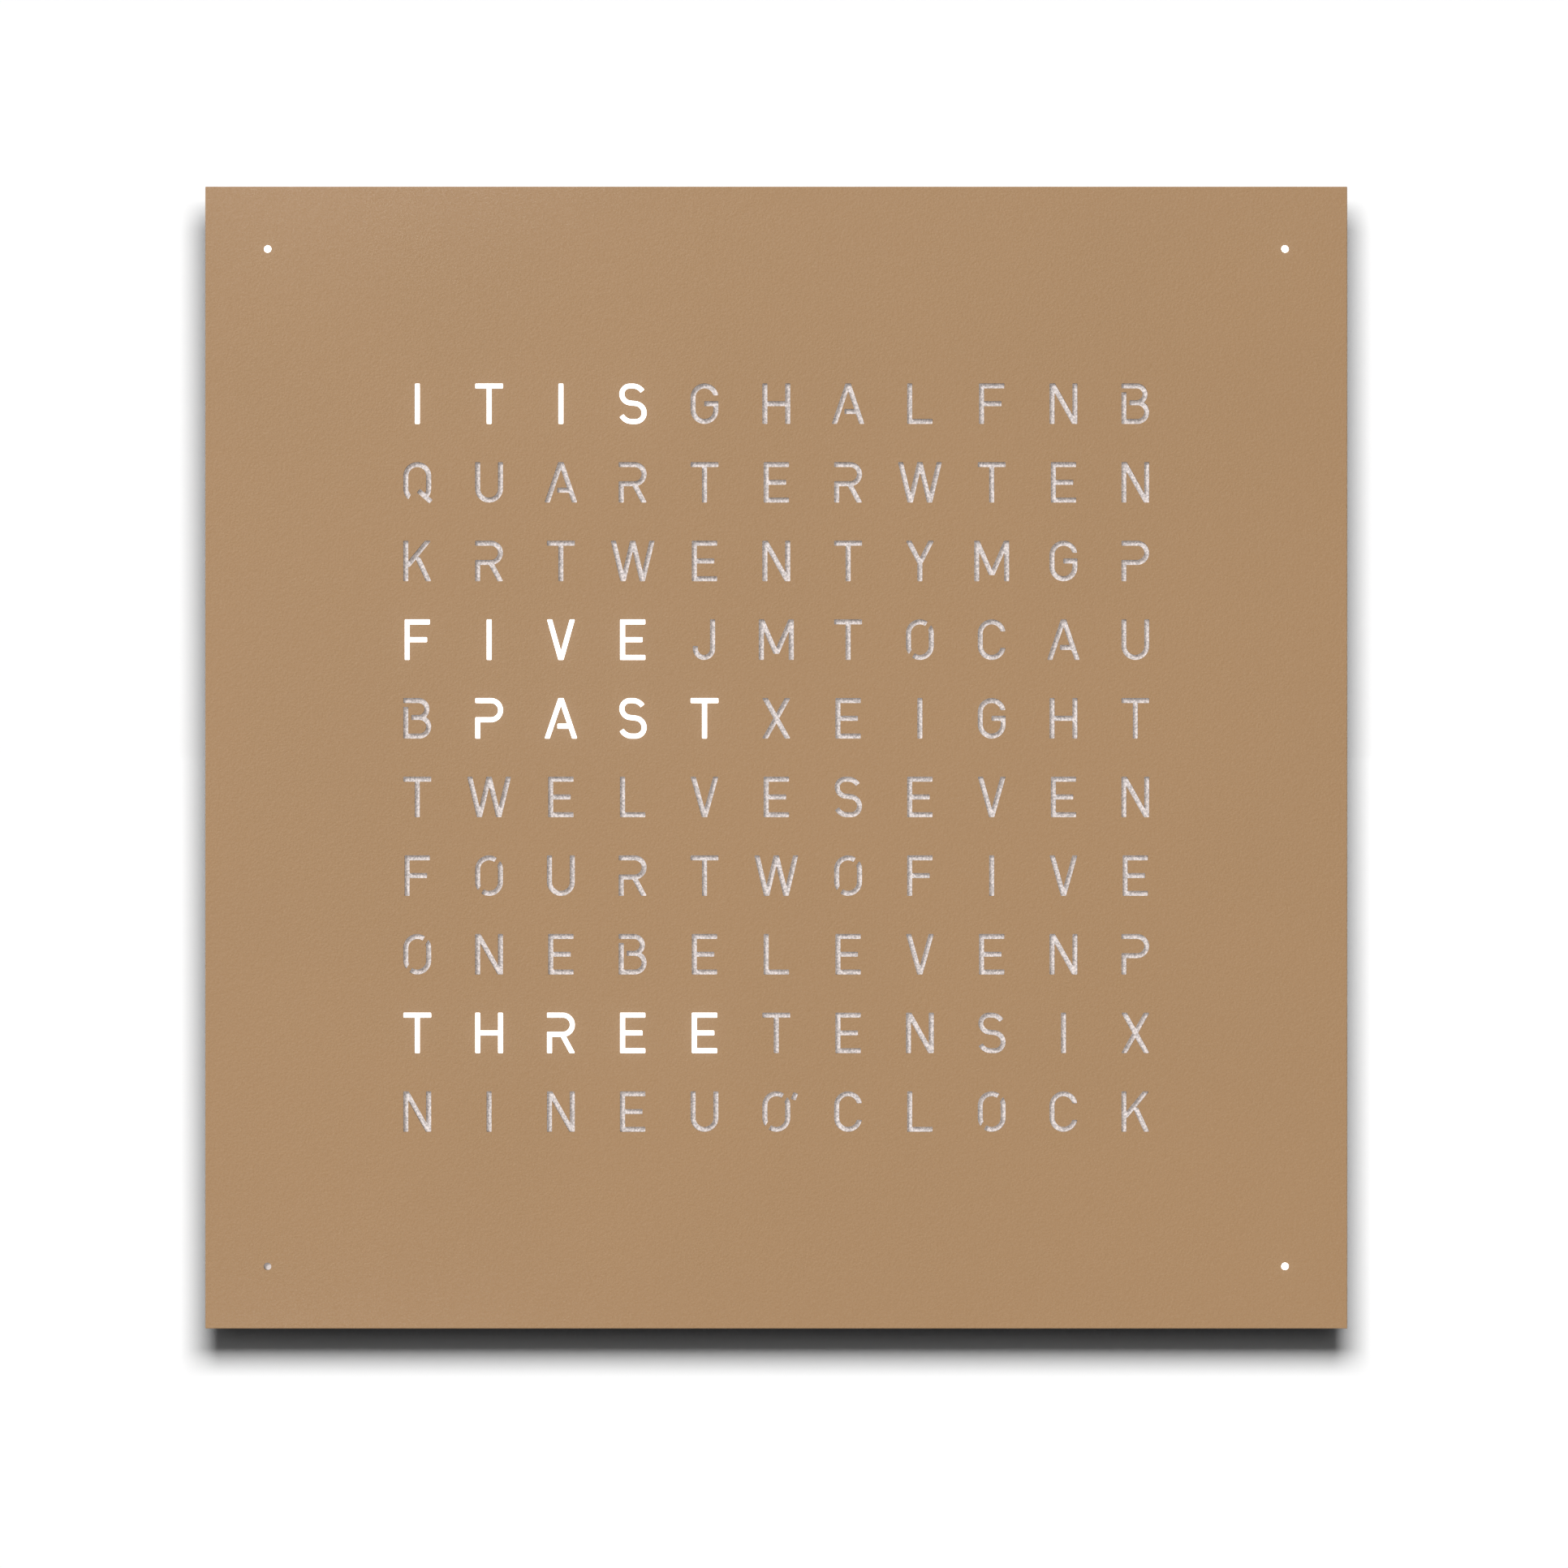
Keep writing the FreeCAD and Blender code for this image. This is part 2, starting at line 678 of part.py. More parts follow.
def letter_outlines():
    """The outline of every opening in the letter field."""
    faces = {letter: letter_faces(letter) for letter in GLYPHS}
    outlines = []
    for letter, middle in letter_places():
        for face in faces[letter]:
            if len(face.Wires) != 1:
                raise ValueError(f"the middle of {letter} would fall out of the plate")
            opening = face.OuterWire.copy()
            opening.translate(middle)
            outlines.append(opening)
    return outlines


def square_wire(half_across, half_up, middle=V()):
    corners = [V(-half_across, -half_up, 0), V(half_across, -half_up, 0),
               V(half_across, half_up, 0), V(-half_across, half_up, 0)]
    wire = Part.makePolygon(corners + corners[:1])
    wire.translate(middle)
    return wire


def pierced_sheet(name, wires, depth):
    """A flat sheet between two depths: the first wire is its edge, the others its openings."""
    blank = doc.addObject("Part::Feature", f"{name}_outline")
    blank.Shape = Part.makeFace(wires, "Part::FaceMakerBullseye")
    blank.Placement = FreeCAD.Placement(V(), UPRIGHT)
    blank.setExpression(".Placement.Base.y", bound(f"-({depth[0]})"))
    sheet_metal = doc.addObject("Part::Extrusion", name)
    sheet_metal.Base = blank
    sheet_metal.DirMode = "Custom"
    sheet_metal.Dir = V(0, -1, 0)
    sheet_metal.Solid = True
    sheet_metal.setExpression("LengthFwd", bound(f"({depth[1]}) - ({depth[0]})"))
    return sheet_metal


# ---------------------------------------------------------------- letter plate

def rounded_rim(plate):
    """Round the plate's front rim and its four corners."""
    plate.Base.recompute()
    plate.recompute()
    half, front = number("cover_side / 2"), -number("overall_depth")
    chosen = []
    for count, edge in enumerate(plate.Shape.Edges, start=1):
        box = edge.BoundBox
        on_rim = all(abs(max(abs(p.X), abs(p.Z)) - half) < TINY for p in edge.Vertexes)
        at_corner = box.XLength + box.ZLength < TINY
        at_front = box.YMax - front < TINY and box.XLength + box.ZLength > half
        if on_rim and (at_corner or at_front):
            chosen.append((count, number("cover_edge_round"), number("cover_edge_round")))
    rim = doc.addObject("Part::Fillet", "cover_rim")
    rim.Base = plate
    rim.Edges = chosen
    return rim


def make_front_cover():
    half = number("cover_side / 2")
    wires = [square_wire(half, half)] + letter_outlines()
    for across, up in mirrored(MINUTE_PLACE, MINUTE_PLACE):
        hole = Part.makeCircle(number("minute_hole_radius"), V(number(across), number(up), 0))
        wires.append(Part.Wire(hole))
    keep(rounded_rim(pierced_sheet("cover_plate", wires, (COVER_BACK, "overall_depth"))), "front_cover")


def make_cover_studs():
    tip = f"({COVER_BACK} - stud_length)"
    stud = turned("cover_stud", [
        ("0", tip), ("stud_radius - stud_chamfer", tip), ("stud_radius", f"{tip} + stud_chamfer"),
        ("stud_radius", COVER_BACK), ("0", COVER_BACK),
    ])
    keep(repeat("studs", stud, mirrored(MARGIN_ACROSS, "stud_height")), "cover_studs")


# ---------------------------------------------------------------- light box

def make_diffuser():
    half_across = f"({GRID_HALF_ACROSS} + diffuser_lap)"
    half_up = f"({GRID_HALF_UP} + diffuser_lap)"
    sheet_part = block("diffuser", (f"-{half_across}", half_across), (f"-{half_up}", half_up),
                       (BEZEL_FRONT, INNER_FRONT))
    keep(sheet_part, "diffuser_sheet")


def make_light_grid():
    """One open cell behind each letter."""
    wires = [square_wire(number(GRID_HALF_ACROSS), number(GRID_HALF_UP))]
    half_cell = number("(pitch_across - grid_wall) / 2"), number("(pitch_up - grid_wall) / 2")
    for letter, middle in letter_places():
        if letter != "'":
            wires.append(square_wire(*half_cell, middle))
    keep(pierced_sheet("grid", wires, (BOARD_FRONT, BEZEL_FRONT)), "light_grid")


def board_screw_places():
    """Screws in the LED board's margin, clear of the grid."""
    out_across = f"({GRID_HALF_ACROSS} + board_margin / 2)"
    out_up = f"({GRID_HALF_UP} + board_margin / 2)"
    return (mirrored(out_across, "board_screw_pitch") + mirrored("board_screw_pitch", out_up))


def make_led_board():
    blank = block("led_board_blank", (f"-{BOARD_HALF_ACROSS}", BOARD_HALF_ACROSS),
                  (f"-{BOARD_HALF_UP}", BOARD_HALF_UP), (BOARD_BACK, BOARD_FRONT))
    drill = peg("led_board_drill", "screw_radius + screw_gap", (BOARD_BACK, BOARD_FRONT))
    holes = repeat("led_board_holes", drill, board_screw_places())
    keep(cut("led_board_cut", blank, [holes]), "led_board")
    standoff = sleeve("led_standoff", "screw_radius + screw_gap", "standoff_radius",
                      (PANEL_FRONT, BOARD_BACK))
    keep(repeat("led_standoffs", standoff, board_screw_places()), "board_standoffs")
    screw = stepped_pin("led_screw", "screw_radius", (f"{BOARD_FRONT} - screw_length", BOARD_FRONT),
                        "screw_head_radius", (BOARD_FRONT, f"{BOARD_FRONT} + screw_head_height"))
    keep(repeat("led_screws", screw, board_screw_places()), "board_screws")


def make_letter_leds():
    """One light in the middle of each cell, with a shallow round window in its face."""
    side, tall, front = number("led_side"), number("led_height"), number(BOARD_FRONT)
    sill = V(0, 0, tall - number("led_window_depth"))
    window = Part.makeCylinder(number("led_window_radius"), tall, sill)
    light = Part.makeBox(side, side, tall, V(-side / 2, -side / 2, 0)).cut(window)
    lights = [light.translated(middle) for letter, middle in letter_places() if letter != "'"]
    feature = doc.addObject("Part::Feature", "lights")
    feature.Shape = Part.makeCompound(lights)
    feature.Placement = FreeCAD.Placement(V(0, -front, 0), UPRIGHT)
    keep(feature, "letter_leds")


def magnet_places():
    """Corners and middles of the margin round the letters."""
    sides = [("0", f"-{MARGIN_UP}"), ("0", MARGIN_UP), (f"-{MARGIN_ACROSS}", "0"), (MARGIN_ACROSS, "0")]
    return mirrored(MARGIN_ACROSS, MARGIN_UP) + sides


def bezel_screw_places():
    return on_four_sides(("-bezel_screw_pitch", "0", "bezel_screw_pitch"), BEZEL_SCREW_LINE)


def bezel_tools():
    """Everything that is cut out of the bezel panels: seats, passages and screw holes."""
    magnet_floor = f"({COVER_BACK} - magnet_thickness)"
    seat = peg("magnet_seat", "magnet_radius + screw_gap", (magnet_floor, BEZEL_FRONT))
    passage = peg("bush_hole", "stud_radius + fit_gap + bush_wall + screw_gap", (BEZEL_BACK, BEZEL_FRONT))
    well = peg("well_hole", "well_radius + fit_gap", (BEZEL_BACK, BEZEL_FRONT))
    screw = countersunk("bezel_drill", "small_screw_radius", "small_screw_head_radius",
                        BEZEL_FRONT, "-small_screw_head_height", BEZEL_BACK, "screw_gap")
    return [
        repeat("magnet_seats", seat, magnet_places()),
        repeat("bush_holes", passage, mirrored(MARGIN_ACROSS, "stud_height")),
        repeat("well_holes", well, mirrored(MINUTE_PLACE, MINUTE_PLACE)),
        repeat("bezel_holes", screw, bezel_screw_places()),
    ]


def countersunk(name, radius, head_radius, face, sink, end, gap="0"):
    """A flat-headed screw, or with a gap its hole: head flush with a face, then a straight shank."""
    neck = f"({face} + ({sink}) * (1 - {gap} / ({head_radius} - {radius})))"
    return turned(name, [
        ("0", face), (head_radius, face), (f"{radius} + {gap}", neck),
        (f"{radius} + {gap}", end), ("0", end),
    ])


def make_bezels():
    """Four flat panels that close the housing's front round the light grid."""
    inner_across, inner_up = f"({GRID_HALF_ACROSS} + fit_gap)", f"({GRID_HALF_UP} + fit_gap)"
    depth = (BEZEL_BACK, BEZEL_FRONT)
    tools = bezel_tools()
    full = (f"-{TRAY_EDGE}", TRAY_EDGE)
    between = (f"-{inner_up}", inner_up)
    panels = {
        "bezel_top": (full, (inner_up, TRAY_EDGE)),
        "bezel_bottom": (full, (f"-{TRAY_EDGE}", f"-{inner_up}")),
        "bezel_left": ((f"-{TRAY_EDGE}", f"-{inner_across}"), between),
        "bezel_right": ((inner_across, TRAY_EDGE), between),
    }
    for node, (across, up) in panels.items():
        keep(cut(f"{node}_cut", block(f"{node}_blank", across, up, depth), tools), node)
    screw = countersunk("bezel_screw", "small_screw_radius", "small_screw_head_radius",
                        BEZEL_FRONT, "-small_screw_head_height", LEDGE_BACK)
    keep(repeat("bezel_screw_set", screw, bezel_screw_places()), "bezel_screws")


def make_plate_holding():
    """Magnets that pull on the steel plate, and bushes that its studs slide into."""
    magnet = peg("magnet", "magnet_radius", (f"{COVER_BACK} - magnet_thickness", COVER_BACK))
    keep(repeat("magnets", magnet, magnet_places()), "cover_magnets")
    bore = "(stud_radius + fit_gap)"
    body = f"({bore} + bush_wall)"
    flange_front = f"{BEZEL_FRONT} + bush_flange_thickness"
    bush = turned("stud_bush", [
        (bore, BEZEL_BACK), (body, BEZEL_BACK), (body, BEZEL_FRONT),
        ("bush_flange_radius", BEZEL_FRONT), ("bush_flange_radius", flange_front), (bore, flange_front),
    ])
    keep(repeat("bushes", bush, mirrored(MARGIN_ACROSS, "stud_height")), "stud_bushes")


def make_minute_lights():
    """A small board, light, tube and clear lens behind each corner dot, and its lead."""
    corners = mirrored(MINUTE_PLACE, MINUTE_PLACE)
    side = about("0", "minute_board_side")
    board = block("minute_board", side, side, (BOARD_BACK, BOARD_FRONT))
    keep(repeat("minute_board_set", board, corners), "minute_boards")
    side = about("0", "minute_led_side")
    light = block("minute_led", side, side, (BOARD_FRONT, f"{BOARD_FRONT} + minute_led_height"))
    keep(repeat("minute_led_set", light, corners), "minute_leds")
    well = sleeve("light_well", "well_bore_radius", "well_radius", (BOARD_FRONT, INNER_FRONT))
    keep(repeat("light_well_set", well, corners), "light_wells")
    lens = peg("minute_lens", "well_bore_radius", (f"{INNER_FRONT} - lens_length", INNER_FRONT))
    keep(repeat("minute_lens_set", lens, corners), "minute_lenses")
    keep(turn_round("minute_lead_set", minute_lead()), "minute_leads")


def minute_lead():
    """A flat lead across the gap between two board corners, along the dial's diagonal."""
    start = f"sqrt(2) * {BOARD_HALF_ACROSS} - lead_lap"
    stop = f"sqrt(2) * ({MINUTE_PLACE} - minute_board_side / 2) + lead_lap"
    strip = doc.addObject("Part::Box", "minute_lead")
    strip.setExpression("Length", bound(f"{stop} - ({start})"))
    strip.setExpression("Width", bound("lead_width"))
    strip.setExpression("Height", bound("lead_thickness"))
    diagonal = FreeCAD.Rotation(V(0, 0, 1), 45)
    strip.Placement = FreeCAD.Placement(V(), UPRIGHT * diagonal)
    place(strip, f"(({start}) + lead_width / 2) / sqrt(2)", f"(({start}) - lead_width / 2) / sqrt(2)",
          BOARD_FRONT)
    return strip


# ---------------------------------------------------------------- housing

def mitred(outer, inner):
    """One side of a picture frame, cut at 45 degrees at both ends."""
    return [(f"-{outer}", outer), (outer, outer), (inner, inner), (f"-{inner}", inner)]


def slice_of_rail(body, inner, depth):
    sketch = sketch_on(body, "XY_Plane", depth[0])
    outline(sketch, mitred(HALF_HOUSING, inner))
    pad(body, sketch, f"{depth[1]} - {depth[0]}")


def drill_rail(body, places, out, radius, depth):
    """A row of holes through the flange or the ledge."""
    sketch = sketch_on(body, "XY_Plane", depth[1])
    for along in places:
        circle(sketch, (along, out), radius)
    pocket(body, sketch, f"{depth[1]} - {depth[0]}")


def make_rail(node, quarter, window=None):
    """A mitred rail: outer wall, rear flange for the panel and front ledge for the bezel."""
    body = new_body(node)
    slice_of_rail(body, WALL_INSIDE, (PANEL_BACK, INNER_FRONT))
    slice_of_rail(body, FLANGE_INSIDE, (PANEL_FRONT, FLANGE_FRONT))
    slice_of_rail(body, LEDGE_INSIDE, (LEDGE_BACK, BEZEL_BACK))
    flange_holes = (f"-{KEY_SCREW_PLACE}", "-panel_screw_pitch", "0", "panel_screw_pitch", KEY_SCREW_PLACE)
    drill_rail(body, flange_holes, FLANGE_LINE, "screw_radius + screw_gap", (PANEL_FRONT, FLANGE_FRONT))
    drill_rail(body, ("-bezel_screw_pitch", "0", "bezel_screw_pitch"), BEZEL_SCREW_LINE,
               "small_screw_radius + screw_gap", (LEDGE_BACK, BEZEL_BACK))
    if window:
        sketch = sketch_on(body, "XZ_Plane", f"-{WALL_INSIDE}")
        window(sketch)
        pocket(body, sketch, "rail_wall")
    body.Placement = FreeCAD.Placement(V(), UPRIGHT * FreeCAD.Rotation(V(0, 0, 1), 90 * quarter))
    keep(body, node)


def sensor_window(sketch):
    circle(sketch, ("sensor_offset", SIDE_AXIS), "sensor_plug_radius + fit_gap / 2")


def button_windows(sketch):
    for step in (-1, 0, 1):
        circle(sketch, (f"button_middle + {step} * button_pitch", SIDE_AXIS), "button_radius + fit_gap")


def jack_window(sketch):
    rectangle(sketch, about("-jack_offset", "jack_width + 2 * fit_gap"),
              about(SIDE_AXIS, "jack_height + 2 * fit_gap"))


def make_rails():
    make_rail("rail_top", 0, sensor_window)
    make_rail("rail_left", 1)
    make_rail("rail_bottom", 2, jack_window)
    make_rail("rail_right", 3, button_windows)


def make_corner_keys():
    """Flat angle pieces that tie the rails together and carry the minute boards."""
    body = new_body("corner_key")
    edge, width = TRAY_EDGE, f"({TRAY_EDGE} - flange_width + 2 * fit_gap)"
    leg = f"({TRAY_EDGE} - corner_key_leg)"
    sketch = sketch_on(body, "XY_Plane", FLANGE_FRONT)
    outline(sketch, [(edge, edge), (leg, edge), (leg, width), (width, width), (width, leg), (edge, leg)])
    pad(body, sketch, f"{BOARD_BACK} - {FLANGE_FRONT}")
    sketch = sketch_on(body, "XY_Plane", BOARD_BACK)
    circle(sketch, (FLANGE_LINE, KEY_SCREW_PLACE), "screw_radius + screw_gap")
    circle(sketch, (KEY_SCREW_PLACE, FLANGE_LINE), "screw_radius + screw_gap")
    pocket(body, sketch, f"{BOARD_BACK} - {FLANGE_FRONT}")
    keep(turn_round("corner_key_set", body), "corner_keys")
    screw = stepped_pin("key_screw", "screw_radius", (PANEL_FRONT, BOARD_BACK),
                        "screw_head_radius", (BOARD_BACK, f"{BOARD_BACK} + screw_head_height"))
    places = mirrored(FLANGE_LINE, KEY_SCREW_PLACE) + mirrored(KEY_SCREW_PLACE, FLANGE_LINE)
    keep(repeat("key_screw_set", screw, places), "corner_key_screws")


def notched_square(edge, notch):
    """A square with a square notch at each corner."""
    low = f"({edge} - {notch})"
    return [
        (f"-{low}", f"-{edge}"), (low, f"-{edge}"), (low, f"-{low}"), (edge, f"-{low}"),
        (edge, low), (low, low), (low, edge), (f"-{low}", edge),
        (f"-{low}", low), (f"-{edge}", low), (f"-{edge}", f"-{low}"), (f"-{low}", f"-{low}"),
    ]


def panel_pocket(body):
    """A new sketch on the rear panel's front, for openings that go right through it."""
    return sketch_on(body, "XY_Plane", PANEL_FRONT)


def make_rear_panel():
    body = new_body("rear_panel_body")
    sketch = sketch_on(body, "XY_Plane", PANEL_BACK)
    outline(sketch, notched_square(TRAY_EDGE, "(bumper_side + fit_gap)"))
    pad(body, sketch, "panel_thickness")
    cut_keyholes(body)
    cut_vents(body)
    places = on_four_sides(("-panel_screw_pitch", "0", "panel_screw_pitch"), FLANGE_LINE)
    drill = countersunk("panel_drill", "screw_radius", "screw_head_radius", PANEL_BACK,
                        "panel_thickness", f"{PANEL_FRONT} + fit_gap", "screw_gap")
    holes = repeat("panel_holes", drill, places)
    keep(cut("rear_panel_cut", body, [holes]), "rear_panel")
    screw = countersunk("panel_screw", "screw_radius", "screw_head_radius", PANEL_BACK,
                        "panel_thickness", FLANGE_FRONT)
    keep(repeat("panel_screw_set", screw, places), "rear_panel_screws")


def cut_keyholes(body):
    """Two keyholes: a round entry for the wall screw's head, then a narrow slot above it."""
    entries, slots, tops = (panel_pocket(body) for _ in range(3))
    top = "(hanger_height + hanger_slot_reach)"
    for side in (-1, 1):
        middle = f"{side} * hanger_spacing / 2"
        circle(entries, (middle, "hanger_height"), "hanger_entry_radius")
        rectangle(slots, about(middle, "hanger_slot_width"), ("hanger_height", top))
        circle(tops, (middle, top), "hanger_slot_width / 2")
    for sketch in (entries, slots, tops):
        pocket(body, sketch, "panel_thickness")


def cut_vents(body):
    """Rows of narrow air slots, high and low."""
    sketch = panel_pocket(body)
    for side in (-1, 1):
        for level in (-1, 1):
            for step in range(-2, 3):
                rectangle(sketch, about(f"{side} * vent_offset", "vent_length"),
                          about(f"({level} * vent_height + {step} * vent_pitch)", "vent_width"))
    pocket(body, sketch, "panel_thickness")


def make_bumpers():
    """Rubber blocks in the panel's corner notches, which stand the clock off the wall."""
    high = f"({TRAY_EDGE} - fit_gap)"
    low = f"({high} - bumper_side + fit_gap)"
    blank = block("bumper_blank", (low, high), (low, high), ("0", PANEL_FRONT))
    blank.recompute()
    back = [count for count, edge in enumerate(blank.Shape.Edges, start=1)
            if edge.BoundBox.YMin > -TINY]
    soft = doc.addObject("Part::Fillet", "bumper")
    soft.Base = blank
    soft.Edges = [(count, number("bumper_round"), number("bumper_round")) for count in back]
    keep(turn_round("bumper_set", soft), "wall_bumpers")


# ---------------------------------------------------------------- electronics

def control_screw_places():
    out = "(control_length / 2 - control_screw_inset)"
    low = f"-{FLANGE_INSIDE} + standoff_radius + control_screw_clearance"
    high = f"{CONTROL_TOP} - control_screw_inset"
    return [(f"{side} * {out}", up) for side in (-1, 1) for up in (low, high)]


def make_control_board():
    blank = block("control_blank", about("0", "control_length"), (CONTROL_BOTTOM, CONTROL_TOP),
                  (CONTROL_BACK, CONTROL_FRONT))
    notch = block("jack_notch", about("jack_offset", "jack_width + 2 * fit_gap"),
                  (CONTROL_BOTTOM, f"-{HALF_HOUSING} + jack_length"), (CONTROL_BACK, CONTROL_FRONT))
    drill = peg("control_drill", "screw_radius + screw_gap", (CONTROL_BACK, CONTROL_FRONT))
    holes = repeat("control_holes", drill, control_screw_places())
    keep(cut("control_cut", blank, [notch, holes]), "control_board")
    standoff = sleeve("control_standoff", "screw_radius + screw_gap", "standoff_radius",
                      (PANEL_FRONT, CONTROL_BACK))
    keep(repeat("control_standoff_set", standoff, control_screw_places()), "control_standoffs")
    screw = stepped_pin("control_screw", "screw_radius", (PANEL_FRONT, CONTROL_FRONT),
                        "screw_head_radius", (CONTROL_FRONT, f"{CONTROL_FRONT} + screw_head_height"))
    keep(repeat("control_screw_set", screw, control_screw_places()), "control_screws")


def on_board(name, middle, size_across, size_up, height):
    """A box-shaped component on the control board."""
    return block(name, about(middle, size_across), about(CONTROL_MIDDLE, size_up),
                 (CONTROL_FRONT, f"{CONTROL_FRONT} + {height}"))


def make_components():
    processor = on_board("processor", "0", "processor_side", "processor_side", "processor_height")
    keep(processor, "microcontroller")
    chip = on_board("driver_chip", "0", "driver_length", "driver_width", "driver_height")
    chips = repeat("driver_chips", chip, [(f"{step} * driver_pitch", "0") for step in (-3, -2, 1.2, 2.2)])
    keep(chips, "led_driver_chips")
    crystal = block("crystal", about("0", "crystal_length"),
                    (f"{CONTROL_MIDDLE} + processor_side / 2 + fit_gap",
                     f"{CONTROL_MIDDLE} + processor_side / 2 + fit_gap + crystal_width"),
                    (CONTROL_FRONT, f"{CONTROL_FRONT} + crystal_height"))
    keep(crystal, "clock_crystal")
    can = peg("capacitor", "capacitor_radius", (CONTROL_FRONT, f"{CONTROL_FRONT} + capacitor_height"),
              up=f"{CONTROL_MIDDLE} - capacitor_pitch - capacitor_radius")
    cans = repeat("capacitors", can, [(f"{step} * capacitor_pitch", "0") for step in (0, 1, 2)])
    keep(cans, "smoothing_capacitors")
    place_across = "(2 * control_screw_inset + receiver_length / 2 - control_length / 2)"
    keep(on_board("receiver", place_across, "receiver_length", "receiver_width", "receiver_height"),
         "radio_receiver")


def make_backup_cell():
    """The coin cell that keeps the time through a power cut, in its round holder."""
    floor = f"({CONTROL_FRONT} + holder_floor)"
    inner = "(cell_radius + screw_gap)"
    outer = f"({inner} + holder_wall)"
    rim = f"({CONTROL_FRONT} + holder_height)"
    holder = turned("cell_holder", [
        ("0", CONTROL_FRONT), (outer, CONTROL_FRONT), (outer, rim),
        (inner, rim), (inner, floor), ("0", floor),
    ])
    place(holder, "cell_offset", CONTROL_MIDDLE, "0")
    keep(holder, "battery_holder")
    depth = (floor, f"{floor} + cell_thickness")
    keep(peg("coin_cell", "cell_radius", depth, "cell_offset", CONTROL_MIDDLE), "backup_cell")


def make_power_inlet():
    """A round socket with a centre pin, flush with the bottom rail."""
    mouth = f"-{HALF_HOUSING}"
    floor = f"({mouth} + jack_bore_depth)"
    shell = block("jack_shell", about("jack_offset", "jack_width"), (mouth, f"{mouth} + jack_length"),
                  about(SIDE_AXIS, "jack_height"))
    bore = doc.addObject("Part::Cylinder", "jack_bore")
    bore.setExpression("Radius", bound("jack_bore_radius"))
    bore.setExpression("Height", bound("jack_bore_depth"))
    place(bore, "jack_offset", mouth, SIDE_AXIS)
    keep(cut("jack_cut", shell, [bore]), "dc_jack")
    tip = f"({floor} - jack_pin_length)"
    pin = turned("jack_pin_body", [
        ("0", floor), ("jack_pin_radius", floor), ("jack_pin_radius", f"{tip} + jack_pin_radius / 2"),
        ("jack_pin_radius / 2", tip), ("0", tip),
    ], FreeCAD.Rotation())
    place(pin, "jack_offset", "0", SIDE_AXIS)
    keep(pin, "jack_pin")


RIBBON_PLACE = "(driver_pitch * 2)"


def ribbon_socket(name, up, board_front):
    """One socket with its low side at a height, on a board's front."""
    return block(name, about(RIBBON_PLACE, "ribbon_width + 2 * socket_side_gap"),
                 (up, f"{up} + socket_depth"), (board_front, f"{board_front} + socket_height"))


def make_ribbon():
    """The flat cable from the control board to the LED board, lying on its two sockets."""
    low = f"({CONTROL_TOP} - socket_depth - control_top_gap)"
    high = f"(-{BOARD_HALF_UP} + board_margin / 2 - socket_depth / 2)"
    low_socket = ribbon_socket("low_socket", low, CONTROL_FRONT)
    high_socket = ribbon_socket("high_socket", high, BOARD_FRONT)
    keep(group("ribbon_socket_pair", [low_socket, high_socket]), "ribbon_sockets")
    lower, upper = f"({CONTROL_FRONT} + socket_height)", f"({BOARD_FRONT} + socket_height)"
    bends = [(low, lower), (f"{low} + socket_depth", lower),
             (high, upper), (f"{high} + socket_depth", upper)]
    body = new_body("ribbon", FreeCAD.Rotation(V(1, 1, 1), 120))
    sketch = sketch_on(body, "XY_Plane", f"{RIBBON_PLACE} - ribbon_width / 2")
    under = [(f"-({depth})", up) for up, depth in bends]
    over = [(f"-({depth}) - ribbon_thickness", up) for up, depth in reversed(bends)]
    outline(sketch, under + over)
    pad(body, sketch, "ribbon_width")
    keep(body, "ribbon_cable")


def make_antenna():
    """A ferrite rod and coil for the time signal, in two cradles on the rear panel."""
    middle = "-antenna_offset"
    up, depth = CONTROL_MIDDLE, SIDE_AXIS
    rod = crosswise_peg("rod", "antenna_radius", about(middle, "antenna_length"), up, depth)
    keep(rod, "ferrite_antenna")
    coil = about(middle, "coil_length")
    outer = crosswise_peg("coil_outside", "antenna_radius + coil_wall", coil, up, depth)
    inner = crosswise_peg("coil_inside", "antenna_radius", coil, up, depth)
    keep(cut("coil", outer, [inner]), "antenna_coil")
    groove = crosswise_peg("cradle_groove", "antenna_radius", about(middle, "antenna_length"), up, depth)
    cradles = []
    for side in (-1, 1):
        centre = f"({middle} + {side} * (antenna_length / 2 - cradle_inset))"
        blank = block(f"cradle_{side + 1}", about(centre, "cradle_length"), about(up, "cradle_width"),
                      (PANEL_FRONT, depth))
        cradles.append(cut(f"cradle_cut_{side + 1}", blank, [groove]))
    keep(group("cradle_pair", cradles), "antenna_cradles")


# ---------------------------------------------------------------- side buttons and sensor

SIDE_BOARD_INSIDE = f"({SIDE_BOARD_OUTSIDE} - board_thickness)"
SWITCH_FRONT = f"({SIDE_BOARD_OUTSIDE} + switch_height)"
BUTTON_FLANGE_IN = f"({WALL_INSIDE} - button_flange_thickness)"
PLUNGER_IN = f"({SWITCH_FRONT} - switch_well_depth + button_travel + fit_gap)"
PLUNGER_OUT = f"({PLUNGER_IN} + plunger_length)"


def button_height(step):
    return f"(-button_middle - {step} * button_pitch)"


